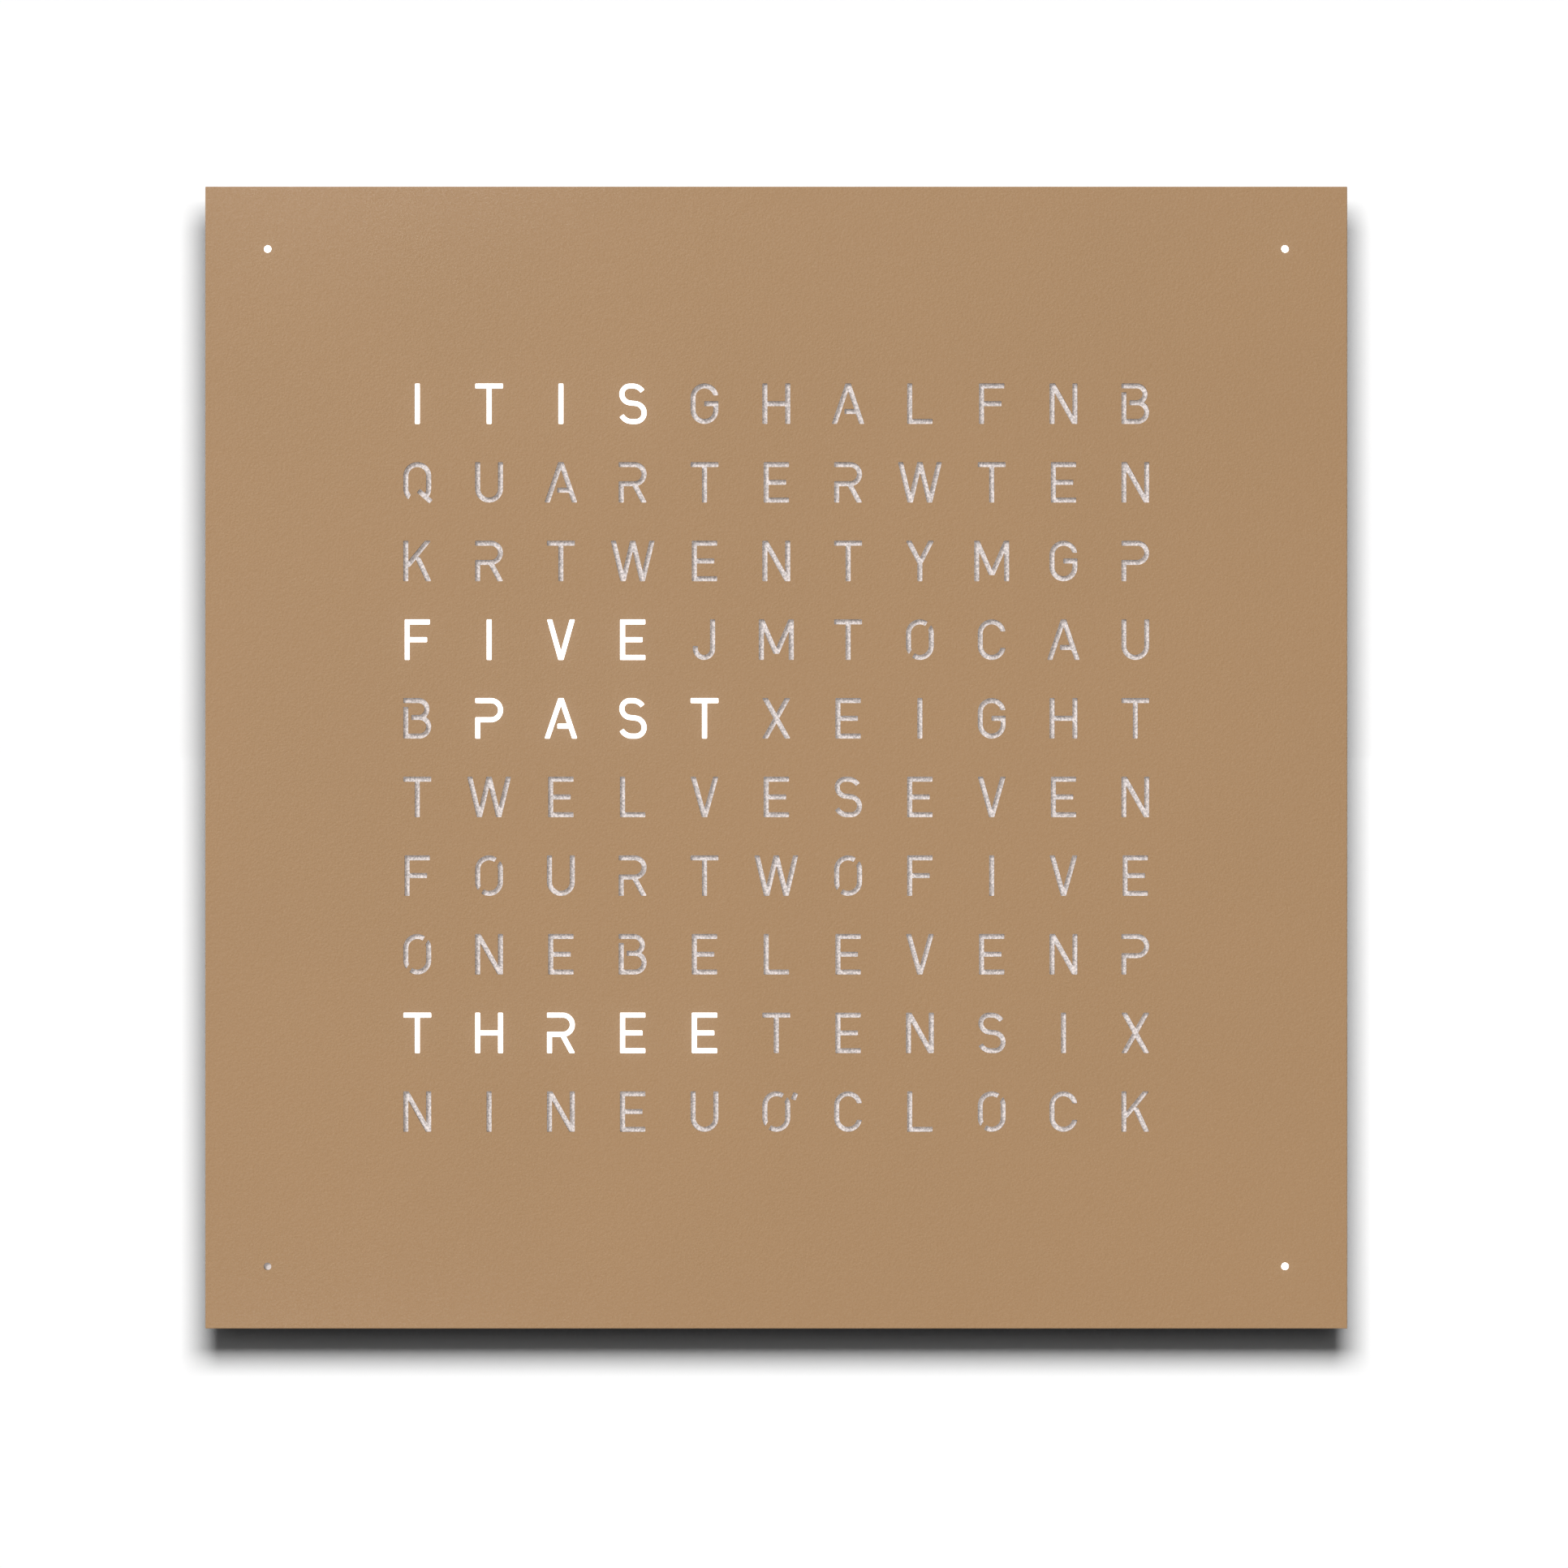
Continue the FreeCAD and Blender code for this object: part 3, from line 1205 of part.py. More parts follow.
def make_button(node, step):
    """A push button: rod, flange behind the rail, and a cap that stands proud of it."""
    end = f"({HALF_HOUSING} + button_proud)"
    cap = turned(f"{node}_body", [
        ("0", PLUNGER_OUT), ("button_rod_radius", PLUNGER_OUT), ("button_rod_radius", BUTTON_FLANGE_IN),
        ("button_flange_radius", BUTTON_FLANGE_IN), ("button_flange_radius", WALL_INSIDE),
        ("button_radius", WALL_INSIDE), ("button_radius", f"{end} - button_tip_round"),
        ("button_radius - button_tip_round", end), ("0", end),
    ], SIDEWAYS)
    place(cap, "0", button_height(step), SIDE_AXIS)
    keep(cap, node)
    plunger = crosswise_peg(f"{node}_plunger", "plunger_radius", (PLUNGER_IN, PLUNGER_OUT),
                            button_height(step), SIDE_AXIS)
    keep(plunger, node.replace("button", "plunger"))


def make_buttons():
    """Three keys on the right side with their switches on a standing board."""
    for node, step in (("hour_button", -1), ("minute_button", 0), ("mode_button", 1)):
        make_button(node, step)
    half = "(button_pitch + side_board_margin)"
    board = block("side_board", (SIDE_BOARD_INSIDE, SIDE_BOARD_OUTSIDE),
                  (f"-button_middle - {half}", f"-button_middle + {half}"),
                  (PANEL_FRONT, f"{PANEL_FRONT} + side_board_height"))
    keep(board, "button_board")
    switches = [make_switch(step) for step in (-1, 0, 1)]
    keep(group("switches", switches), "tact_switches")


def make_switch(step):
    blank = block(f"switch_{step + 1}", (SIDE_BOARD_OUTSIDE, SWITCH_FRONT),
                  about(button_height(step), "switch_side"), about(SIDE_AXIS, "switch_side"))
    well = crosswise_peg(f"switch_well_{step + 1}", "plunger_radius + fit_gap",
                         (f"{SWITCH_FRONT} - switch_well_depth", SWITCH_FRONT),
                         button_height(step), SIDE_AXIS)
    return cut(f"switch_cut_{step + 1}", blank, [well])


def make_sensor():
    """A brightness sensor on its own board, with a clear light pipe through the top rail."""
    board = block("sensor_board_blank", about("sensor_offset", "2 * side_board_margin + sensor_chip_side"),
                  (SIDE_BOARD_INSIDE, SIDE_BOARD_OUTSIDE),
                  (PANEL_FRONT, f"{PANEL_FRONT} + side_board_height"))
    keep(board, "sensor_board")
    chip_top = f"({SIDE_BOARD_OUTSIDE} + sensor_chip_height)"
    chip = block("sensor", about("sensor_offset", "sensor_chip_side"), (SIDE_BOARD_OUTSIDE, chip_top),
                 about(SIDE_AXIS, "sensor_chip_side"))
    keep(chip, "sensor_chip")
    pipe = turned("light_pipe", [
        ("0", f"{chip_top} + fit_gap"), ("sensor_pipe_radius", f"{chip_top} + fit_gap"),
        ("sensor_pipe_radius", BUTTON_FLANGE_IN), ("button_flange_radius", BUTTON_FLANGE_IN),
        ("button_flange_radius", WALL_INSIDE), ("sensor_plug_radius", WALL_INSIDE),
        ("sensor_plug_radius", HALF_HOUSING), ("0", HALF_HOUSING),
    ], FreeCAD.Rotation())
    place(pipe, "sensor_offset", "0", SIDE_AXIS)
    keep(pipe, "sensor_light_pipe")


# ---------------------------------------------------------------- whole clock

def check(features):
    """Stop on any failed object, and on any sub-part that isn't sound solids."""
    failed = [item.Label for item in doc.Objects if {"Invalid", "Error"} & set(item.State)]
    if failed:
        raise RuntimeError(f"failed objects: {failed}")
    for feature in features:
        shape = feature.Shape
        if shape.isNull() or not shape.isValid() or not shape.Solids:
            raise RuntimeError(f"{feature.Label} isn't a sound solid")


make_front_cover()
make_cover_studs()
make_diffuser()
make_light_grid()
make_led_board()
make_letter_leds()
make_bezels()
make_plate_holding()
make_minute_lights()
make_rails()
make_corner_keys()
make_rear_panel()
make_bumpers()
make_control_board()
make_components()
make_backup_cell()
make_power_inlet()
make_ribbon()
make_antenna()
make_buttons()
make_sensor()
doc.recompute()
check(nodes)

os.makedirs("parts", exist_ok=True)
for feature in nodes:
    feature.Shape.exportStep(f"parts/{feature.Label}.step")
print(f"{len(nodes)} nodes written")
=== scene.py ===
"""Looks of the word clock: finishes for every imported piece, finer small parts, and the room it hangs in.

Everything is in the clock's own frame: +X to the right, +Z up, and the letters face -Y. Materials, lights and
the camera are in metres. New pieces are worked out in millimetres: across, up, and depth out from the wall.
"""

import bpy
import numpy as np
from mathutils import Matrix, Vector


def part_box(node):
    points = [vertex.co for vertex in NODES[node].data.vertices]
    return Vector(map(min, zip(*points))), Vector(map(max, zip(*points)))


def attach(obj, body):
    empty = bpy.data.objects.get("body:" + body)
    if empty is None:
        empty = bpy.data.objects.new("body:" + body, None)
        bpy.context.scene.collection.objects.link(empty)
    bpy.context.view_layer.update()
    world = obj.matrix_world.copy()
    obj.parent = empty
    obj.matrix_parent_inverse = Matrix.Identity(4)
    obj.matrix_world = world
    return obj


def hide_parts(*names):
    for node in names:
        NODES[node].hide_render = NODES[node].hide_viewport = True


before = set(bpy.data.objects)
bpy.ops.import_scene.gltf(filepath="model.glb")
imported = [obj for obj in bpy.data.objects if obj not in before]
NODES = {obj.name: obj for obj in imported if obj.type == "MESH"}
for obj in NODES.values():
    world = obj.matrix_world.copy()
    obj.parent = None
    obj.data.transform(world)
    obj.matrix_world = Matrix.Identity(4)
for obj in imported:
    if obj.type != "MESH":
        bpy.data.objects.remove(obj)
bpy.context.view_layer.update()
MM = 0.001


def reach(node, axis):
    """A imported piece's lowest and highest place along x, y or z, in millimetres."""
    return [round(corner["xyz".index(axis)] / MM, 3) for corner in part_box(node)]


def depths(node):
    """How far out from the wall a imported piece's back and front lie, in millimetres."""
    front, back = reach(node, "y")
    return -back, -front


# The dial, in metres. Each lit word is its row, its first letter and its last one, counted from 0.
COLUMNS, ROWS = 11, 10
PITCH_ACROSS, PITCH_UP = 28.3 * MM, 31.0 * MM
LIT_WORDS = ((0, 0, 1), (0, 2, 3), (3, 0, 3), (4, 1, 4), (8, 0, 4))
DOT_PLACE = 200.5 * MM

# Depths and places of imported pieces, in millimetres.
PLATE_BACK, PLATE_FRONT = depths("front_cover")
BOARD_FACE = depths("control_board")[1]
CHIP_ROW = sum(reach("microcontroller", "z")) / 2
DRIVER_PLACES = (-45, -30, 18, 33)
CAN_ROW = sum(reach("smoothing_capacitors", "z")) / 2
CAN_TOP = depths("smoothing_capacitors")[1]
CAN_PITCH = 9.0
RIBBON_EDGE = reach("ribbon_cable", "x")[0]
WIRE_PITCH, TRACK_PITCH = 1.27, 1.27

# The view: the frame's width at the plate's face, and how many pixels the plate's middle lies to the left of
# the frame's middle and above it.
IMAGE_PIXELS = 1932
FRAME_WIDTH = 617.9 * MM
MIDDLE_LEFT, MIDDLE_UP = 9.5, 32.5


# ---------------------------------------------------------------- shader sums

class Wire:
    """One output of a shader node. Sums, products and powers of wires add the nodes that work them out."""

    def __init__(self, finish, socket):
        self.finish, self.socket = finish, socket

    def reckon(self, operation, *values):
        return self.finish.node("ShaderNodeMath", {"operation": operation}, dict(enumerate(values)))

    def __add__(self, other):
        return self.reckon("ADD", self, other)

    def __sub__(self, other):
        return self.reckon("SUBTRACT", self, other)

    def __rsub__(self, other):
        return self.reckon("SUBTRACT", other, self)

    def __mul__(self, other):
        return self.reckon("MULTIPLY", self, other)

    def __truediv__(self, other):
        return self.reckon("DIVIDE", self, other)

    def __pow__(self, other):
        return self.reckon("POWER", self, other)

    def __abs__(self):
        return self.reckon("ABSOLUTE", self)

    __radd__ = __add__
    __rmul__ = __mul__


class Finish:
    """A surface finish: one shader, the place on the clock as a wire, and the nodes that vary it."""

    def __init__(self, name, **constants):
        self.material = bpy.data.materials.new(name)
        self.material.use_nodes = True
        self.tree = self.material.node_tree
        self.tree.nodes.clear()
        self.shader = self.tree.nodes.new("ShaderNodeBsdfPrincipled")
        self.result = self.tree.nodes.new("ShaderNodeOutputMaterial")
        self.tree.links.new(self.shader.outputs[0], self.result.inputs["Surface"])
        self.place = self.node("ShaderNodeTexCoord", {}, {}, "Object")
        self.x, self.y, self.z = (self.node("ShaderNodeSeparateXYZ", {}, {0: self.place}, axis)
                                  for axis in range(3))
        self.set(**constants)

    def node(self, kind, settings, values, out=0):
        """A node of one kind: its settings, then a value or a wire for each socket. Gives one output."""
        made = self.tree.nodes.new(kind)
        for key, setting in settings.items():
            setattr(made, key, setting)
        for key, value in values.items():
            if isinstance(value, Wire):
                self.tree.links.new(value.socket, made.inputs[key])
            else:
                made.inputs[key].default_value = value
        return Wire(self, made.outputs[out])

    def set(self, **values):
        """Set or link the shader's own sockets. Base_Color stands for Base Color."""
        for key, value in values.items():
            socket = self.shader.inputs[key.replace("_", " ")]
            if isinstance(value, Wire):
                self.tree.links.new(value.socket, socket)
            else:
                socket.default_value = (*value, 1) if isinstance(value, tuple) else value
        return self

    def stretched(self, across, deep, up):
        """The place with each axis scaled, so that a pattern on it is drawn out along the others."""
        return self.node("ShaderNodeVectorMath", {"operation": "MULTIPLY"},
                         {0: self.place, 1: (across, deep, up)})

    def grain(self, size, detail=2.0, place=None):
        """Cloudy noise from 0 to 1 whose blotches are about this size in millimetres."""
        return self.node("ShaderNodeTexNoise", {"noise_dimensions": "3D"},
                         {"Vector": place or self.place, "Scale": 1 / (size * MM), "Detail": detail})

    def pebbles(self, size, out="Distance"):
        """Distance to the nearest of scattered points this many millimetres apart, or that point's colour."""
        return self.node("ShaderNodeTexVoronoi", {}, {"Vector": self.place, "Scale": 1 / (size * MM)}, out)

    def ease(self, value, low, high):
        """0 below low, 1 above high, and an S-curve between. With low above high it falls instead."""
        return self.node("ShaderNodeMapRange", {"interpolation_type": "SMOOTHSTEP"},
                         {"Value": value, "From Min": low, "From Max": high})

    def span(self, value, low, high, soft):
        """1 between two values and 0 outside, with soft edges."""
        return self.ease(value, low - soft, low + soft) * (1 - self.ease(value, high - soft, high + soft))

    def colours(self, mask, first, second):
        """The first colour where the mask is 0, the second where it is 1. A Mix node has its colours on
        inputs 6 and 7, and the mixed one on output 2."""
        ends = {key: colour if isinstance(colour, Wire) else (*colour, 1)
                for key, colour in ((6, first), (7, second))}
        return self.node("ShaderNodeMix", {"data_type": "RGBA"}, {0: mask, **ends}, 2)

    def bump(self, height, rise):
        """A normal that follows a height from 0 to 1, which stands for a rise in millimetres."""
        return self.node("ShaderNodeBump", {}, {"Height": height, "Distance": rise * MM, "Strength": 1.0})

    def repeats(self, value, pitch):
        """Distance from the middle of the nearest of equal stretches, from -pitch/2 to pitch/2."""
        turns = value / pitch + 0.5
        return turns.reckon("FRACT", turns) * pitch - pitch / 2

    def from_point(self, across, up):
        """Distance of two wires from 0, 0 taken together."""
        return (across * across + up * up) ** 0.5


def clad(finish, *nodes):
    """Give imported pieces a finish."""
    for node in nodes:
        for slot in NODES[node].material_slots:
            slot.material = finish.material


# ---------------------------------------------------------------- where the clock is lit

def letter_light(finish):
    """1 over the cells of the lit words, 0 over the others."""
    soft = 1.2 * MM
    light = None
    for row, first, last in LIT_WORDS:
        middle = ((ROWS - 1) / 2 - row) * PITCH_UP
        left = (first - COLUMNS / 2) * PITCH_ACROSS
        right = (last + 1 - COLUMNS / 2) * PITCH_ACROSS
        word = (finish.span(finish.x, left, right, soft)
                * finish.span(finish.z, middle - PITCH_UP / 2, middle + PITCH_UP / 2, soft))
        light = word if light is None else light + word
    return light.reckon("MINIMUM", light, 1.0)


def dot_light(finish):
    """1 at three corners, 0 at the lower left one."""
    return 1 - (1 - finish.ease(finish.x, -MM, MM)) * (1 - finish.ease(finish.z, -MM, MM))


# ---------------------------------------------------------------- finishes seen from the front

def tan_powder_coat():
    """Fine-textured tan powder coat: soft colour drifts, a fine speckle and a pebbled skin. The plate's
    back is left in dark primer."""
    coat = Finish("plate_paint", Specular_IOR_Level=0.28, Coat_Roughness=0.11)
    drift = coat.grain(95, 1.5)
    speckle = coat.grain(0.62, 3.0)
    fleck = coat.ease(coat.pebbles(0.9), 0.30, 0.12)
    warm = coat.colours(coat.ease(drift, 0.38, 0.62), (0.357, 0.2238, 0.1166), (0.363, 0.2271, 0.1183))
    toned = coat.colours(coat.ease(speckle, 0.25, 0.75) * 0.22, warm, (0.425, 0.2855, 0.168))
    toned = coat.colours(fleck * 0.10, toned, (0.55, 0.42, 0.29))
    primer = coat.ease(coat.y, -(PLATE_BACK + 0.15) * MM, -(PLATE_BACK + 0.05) * MM)
    toned = coat.colours(primer, toned, (0.028, 0.028, 0.030))
    skin = coat.ease(coat.grain(0.85, 3.0), 0.3, 0.7)
    rough = 0.46 + coat.grain(3.0, 3.0) * 0.10
    return coat.set(Base_Color=toned, Roughness=rough, Coat_Weight=speckle ** 2.0 * 0.6,
                    Normal=coat.bump(skin, 0.035))


def opal_sheet():
    """White opal acrylic: lit from behind over the lit words, and faintly mottled elsewhere, where it also
    has a faint painted glow that lifts the shade in the letters' recesses.
    """
    sheet = Finish("opal_sheet", Specular_IOR_Level=0.3, Emission_Strength=1.0)
    mottle = sheet.ease(sheet.grain(0.75, 3.0), 0.30, 0.70)
    unlit = sheet.colours(mottle, (0.25, 0.235, 0.232), (0.47, 0.44, 0.436))
    # Painted glow: the unlit letters give off a faint light of their own, which lifts the shade in their
    # recesses.
    glow_painted_where_unlit = sheet.colours(mottle, (0.225, 0.203, 0.194), (0.385, 0.350, 0.336))
    light = letter_light(sheet)
    return sheet.set(Base_Color=unlit, Roughness=0.42 + mottle * 0.16,
                     Emission_Color=sheet.colours(light, glow_painted_where_unlit, (1.8, 1.8, 1.8)),
                     Normal=sheet.bump(mottle, 0.012))


def frosted_lens():
    """Frosted acrylic rod ends. Three are lit from behind, and the dark one keeps a faint painted glow."""
    lens = Finish("clear_lens", Emission_Strength=1.0, IOR=1.49, Transmission_Weight=0.15)
    frost = lens.grain(0.5, 2.0)
    # Painted glow: the dark lens still gives off a faint light.
    glow_painted_where_unlit = lens.colours(dot_light(lens), (0.23, 0.210, 0.205), (2.2, 2.2, 2.2))
    body = lens.colours(frost, (0.36, 0.335, 0.330), (0.54, 0.51, 0.50))
    return lens.set(Base_Color=body, Roughness=0.30 + frost * 0.2, Emission_Color=glow_painted_where_unlit,
                    Normal=lens.bump(frost, 0.02))


def clear_rod():
    """Polished clear acrylic with a few fine draw lines."""
    rod = Finish("clear_rod", IOR=1.49, Transmission_Weight=0.92)
    lines = rod.grain(0.4, 2.0, rod.stretched(1, 1, 0.08))
    tint = rod.colours(lines, (0.90, 0.94, 0.95), (0.97, 0.99, 1.0))
    return rod.set(Base_Color=tint, Roughness=0.05 + lines * 0.08, Normal=rod.bump(lines, 0.006))


# ---------------------------------------------------------------- metals

def anodised_rail(name, along):
    """Black anodised extrusion: fine die lines along the rail, and a satin, slightly uneven dye."""
    rail = Finish(name, Metallic=0.85, Specular_IOR_Level=0.5)
    drawn = rail.stretched(*((0.012, 1, 1) if along == "x" else (1, 1, 0.012)))
    lines = rail.grain(0.35, 3.0, drawn)
    dye = rail.grain(22, 2.0)
    scuff = rail.ease(rail.grain(1.6, 4.0, drawn), 0.66, 0.78)
    base = rail.colours(dye, (0.044, 0.044, 0.047), (0.060, 0.060, 0.064))
    base = rail.colours(scuff * 0.25, base, (0.13, 0.13, 0.135))
    return rail.set(Base_Color=base, Roughness=0.34 + lines * 0.16, Normal=rail.bump(lines, 0.012))


def black_powder_coat():
    """Black powder coat on the rear panel: orange-peel skin with a fine sparkle and a trace of dust."""
    coat = Finish("panel_metal", Specular_IOR_Level=0.45)
    peel = coat.ease(coat.grain(1.3, 3.0), 0.25, 0.75)
    dust = coat.ease(coat.grain(70, 6.0), 0.40, 0.75)
    base = coat.colours(peel, (0.020, 0.020, 0.021), (0.048, 0.048, 0.050))
    base = coat.colours(dust * 0.05, base, (0.16, 0.155, 0.15))
    return coat.set(Base_Color=base, Roughness=0.42 + dust * 0.12 + peel * 0.08,
                    Normal=coat.bump(peel, 0.05))


def zinc(name, tone, size):
    """Bright zinc plate: faint spangles of a size in millimetres, light scratches and dull blotches."""
    plate = Finish(name, Metallic=1.0)
    spangle = plate.node("ShaderNodeSeparateXYZ", {}, {0: plate.pebbles(size, "Color")})
    scratch = plate.ease(plate.grain(0.3, 2.0, plate.stretched(0.15, 1, 1)), 0.62, 0.74)
    dull = plate.grain(6, 3.0)
    base = plate.colours(spangle * 0.6 + dull * 0.4, tuple(0.86 * part for part in tone), tone)
    return plate.set(Base_Color=base, Roughness=0.22 + spangle * 0.10 + dull * 0.16,
                     Normal=plate.bump(scratch + spangle * 0.3, 0.006))


def turned_steel(name, tone, axis):
    """Lathe-turned steel: fine rings round the axis that it was turned about."""
    steel = Finish(name, Metallic=1.0)
    far = {"y": (0.02, 1, 0.02), "z": (0.02, 0.02, 1)}[axis]
    marks = steel.grain(0.16, 2.0, steel.stretched(*far))
    stain = steel.grain(3.5, 3.0)
    base = steel.colours(stain, tuple(0.80 * part for part in tone), tone)
    return steel.set(Base_Color=base, Roughness=0.20 + marks * 0.18, Normal=steel.bump(marks, 0.010))


def nickel(name, tone):
    """Bright nickel plate with tiny pits and a cloudy polish."""
    plate = Finish(name, Metallic=1.0)
    pits = plate.ease(plate.pebbles(0.7), 0.16, 0.05)
    cloud = plate.grain(4, 3.0)
    base = plate.colours(cloud, tone, tuple(min(1.0, 1.14 * part) for part in tone))
    return plate.set(Base_Color=base, Roughness=0.10 + cloud * 0.12 + pits * 0.2,
                     Normal=plate.bump(1 - pits, 0.008))


# ---------------------------------------------------------------- plastics and rubber

def moulded(name, dark, light, grain_size, rise, gloss):
    """Moulded plastic: a spark-eroded grain, a cloudy tone and a few flow lines."""
    part = Finish(name)
    texture = part.ease(part.pebbles(grain_size), 0.15, 0.75)
    cloud = part.grain(7, 3.0)
    flow = part.grain(1.1, 2.0, part.stretched(0.2, 1, 1))
    base = part.colours(cloud * 0.7 + flow * 0.3, dark, light)
    return part.set(Base_Color=base, Roughness=gloss + texture * 0.12 + cloud * 0.06,
                    Normal=part.bump(texture, rise))


def rubber():
    """Soft black rubber: a matt, slightly chalky skin with fine pores."""
    pad = Finish("bumper_rubber", Specular_IOR_Level=0.3)
    pores = pad.ease(pad.pebbles(0.5), 0.10, 0.45)
    chalk = pad.ease(pad.grain(2.6, 4.0), 0.45, 0.75)
    base = pad.colours(chalk, (0.014, 0.014, 0.014), (0.055, 0.054, 0.052))
    return pad.set(Base_Color=base, Roughness=0.72 + chalk * 0.16, Normal=pad.bump(pores, 0.03))


def natural_nylon(name):
    """Natural nylon: milky, with cloudy depth."""
    part = Finish(name, Subsurface_Weight=0.25, Subsurface_Scale=0.001, IOR=1.52)
    cloud = part.grain(1.8, 3.0)
    base = part.colours(cloud, (0.70, 0.68, 0.62), (0.84, 0.83, 0.79))
    return part.set(Base_Color=base, Roughness=0.34 + cloud * 0.14, Normal=part.bump(cloud, 0.02))


def flat_lead():
    """Grey flat lead: three jacketed wires side by side along the dial's diagonal, with painted shade in the
    grooves between them.
    """
    lead = Finish("lead_jacket", Specular_IOR_Level=0.4)
    pitch = 1.0 * MM
    beside = (abs(lead.x) - abs(lead.z)) * 0.5 ** 0.5
    ridge = 1 - (lead.repeats(beside, pitch) / (pitch / 2)) ** 2.0
    cloud = lead.grain(2, 3.0)
    # Painted shade: the jacket is darker in the grooves between the wires.
    base = lead.colours(lead.ease(ridge, 0.0, 0.6), (0.20, 0.20, 0.21), (0.46, 0.46, 0.47))
    return lead.set(Base_Color=base, Roughness=0.42 + cloud * 0.15, Normal=lead.bump(ridge, 0.18))


def ribbon_jacket():
    """Grey ribbon cable: round wires side by side, the first one striped red, with painted shade in the
    grooves between them.
    """
    ribbon = Finish("ribbon_jacket", Specular_IOR_Level=0.4)
    pitch = WIRE_PITCH * MM
    across = ribbon.x - RIBBON_EDGE * MM
    ridge = 1 - (ribbon.repeats(across, pitch) / (pitch / 2)) ** 2.0
    red = 1 - ribbon.ease(ribbon.x, (RIBBON_EDGE + 1.3) * MM, (RIBBON_EDGE + 1.5) * MM)
    # Painted shade: the jacket is darker in the grooves between the wires.
    base = ribbon.colours(ribbon.ease(ridge, 0.0, 0.5), (0.22, 0.22, 0.23), (0.50, 0.50, 0.52))
    base = ribbon.colours(red, base, (0.42, 0.03, 0.03))
    cloud = ribbon.grain(2, 3.0)
    return ribbon.set(Base_Color=base, Roughness=0.40 + cloud * 0.15, Normal=ribbon.bump(ridge, 0.25))


# ---------------------------------------------------------------- electronics

def laminate(name, first, second, lamp_pads=False):
    """Green circuit board: straight tracks in patches that run one way or the other, plated holes whose bores
    are painted near black as shade, tin pads.

    first and second name the two axes that the board lies along.
    """
    board = Finish(name, Coat_Weight=0.25, Coat_Roughness=0.15)
    one, two = getattr(board, first), getattr(board, second)
    pitch, per_metre = TRACK_PITCH * MM, 1 / (8 * MM)

    def tracks_beside(place):
        return board.ease(abs(board.repeats(place, pitch)), 0.30 * MM, 0.22 * MM)

    squares = board.node("ShaderNodeVectorMath", {"operation": "FLOOR"},
                         {0: board.stretched(per_metre, per_metre, per_metre)})
    patch = board.node("ShaderNodeTexWhiteNoise", {"noise_dimensions": "3D"}, {"Vector": squares}, "Value")
    turned = board.ease(patch, 0.49, 0.51)
    tracks = tracks_beside(one) * turned + tracks_beside(two) * (1 - turned)
    routed = board.ease(board.grain(14, 1.0), 0.42, 0.46)
    tracks = tracks * routed
    from_hole = board.from_point(board.repeats(one, 6 * pitch), board.repeats(two, 4 * pitch))
    ring = board.ease(from_hole, 0.62 * MM, 0.52 * MM)
    # Painted shade: each hole's bore is painted near black.
    painted_dark_hole = board.ease(from_hole, 0.30 * MM, 0.22 * MM)
    if lamp_pads:
        cell_across = abs(board.repeats(board.x, PITCH_ACROSS))
        cell_up = abs(board.repeats(board.z - PITCH_UP / 2, PITCH_UP))
        pads = (board.span(cell_across, 1.9 * MM, 3.3 * MM, 0.05 * MM)
                * (1 - board.ease(cell_up, 1.9 * MM, 2.0 * MM)))
        ring = ring.reckon("MAXIMUM", ring, pads)
    weave = board.grain(0.8, 2.0)
    green = board.colours(weave, (0.010, 0.085, 0.035), (0.016, 0.115, 0.050))
    green = board.colours(tracks, green, (0.028, 0.190, 0.085))
    base = board.colours(ring, green, (0.66, 0.65, 0.62))
    base = board.colours(painted_dark_hole, base, (0.02, 0.02, 0.02))
    raised = tracks * 0.5 + ring * 0.6
    return board.set(Base_Color=base, Metallic=ring * (1 - painted_dark_hole), Roughness=0.30 + weave * 0.12,
                     Normal=board.bump(raised, 0.05))


def lamp_body(name, across, up, window, light):
    """A white lamp housing with a yellow phosphor window, brighter where the lamp is on. across and up give
    the distance from the nearest lamp's middle, and window is the window's radius."""
    lamp = Finish(name, Emission_Strength=1.0, IOR=1.5)
    from_middle = lamp.from_point(across(lamp), up(lamp))
    phosphor = 1 - lamp.ease(from_middle, window * 0.92, window)
    cloud = lamp.grain(0.6, 3.0)
    housing = lamp.colours(cloud, (0.78, 0.77, 0.73), (0.88, 0.87, 0.84))
    gel = lamp.colours(cloud, (0.80, 0.62, 0.10), (0.90, 0.74, 0.20))
    on = light(lamp) * phosphor
    return lamp.set(Base_Color=lamp.colours(phosphor, housing, gel),
                    Roughness=0.40 - phosphor * 0.22,
                    Emission_Color=lamp.colours(on, (0.0, 0.0, 0.0), (3.0, 2.9, 2.6)),
                    Normal=lamp.bump(cloud, 0.01))


def epoxy(name, first_legs=()):
    """Black moulded epoxy with a fine sandy skin, and a round dimple beside each first leg."""
    body = Finish(name, Specular_IOR_Level=0.4)
    sand = body.ease(body.pebbles(0.16), 0.1, 0.8)
    cloud = body.grain(3, 3.0)
    height = sand * 0.15 + 1.0
    for across, up in first_legs:
        from_dimple = body.from_point(body.x - across * MM, body.z - up * MM)
        height = height - (1 - body.ease(from_dimple, 0.45 * MM, 0.60 * MM))
    base = body.colours(cloud, (0.018, 0.018, 0.019), (0.034, 0.034, 0.036))
    return body.set(Base_Color=base, Roughness=0.52 + sand * 0.14, Normal=body.bump(height, 0.12))


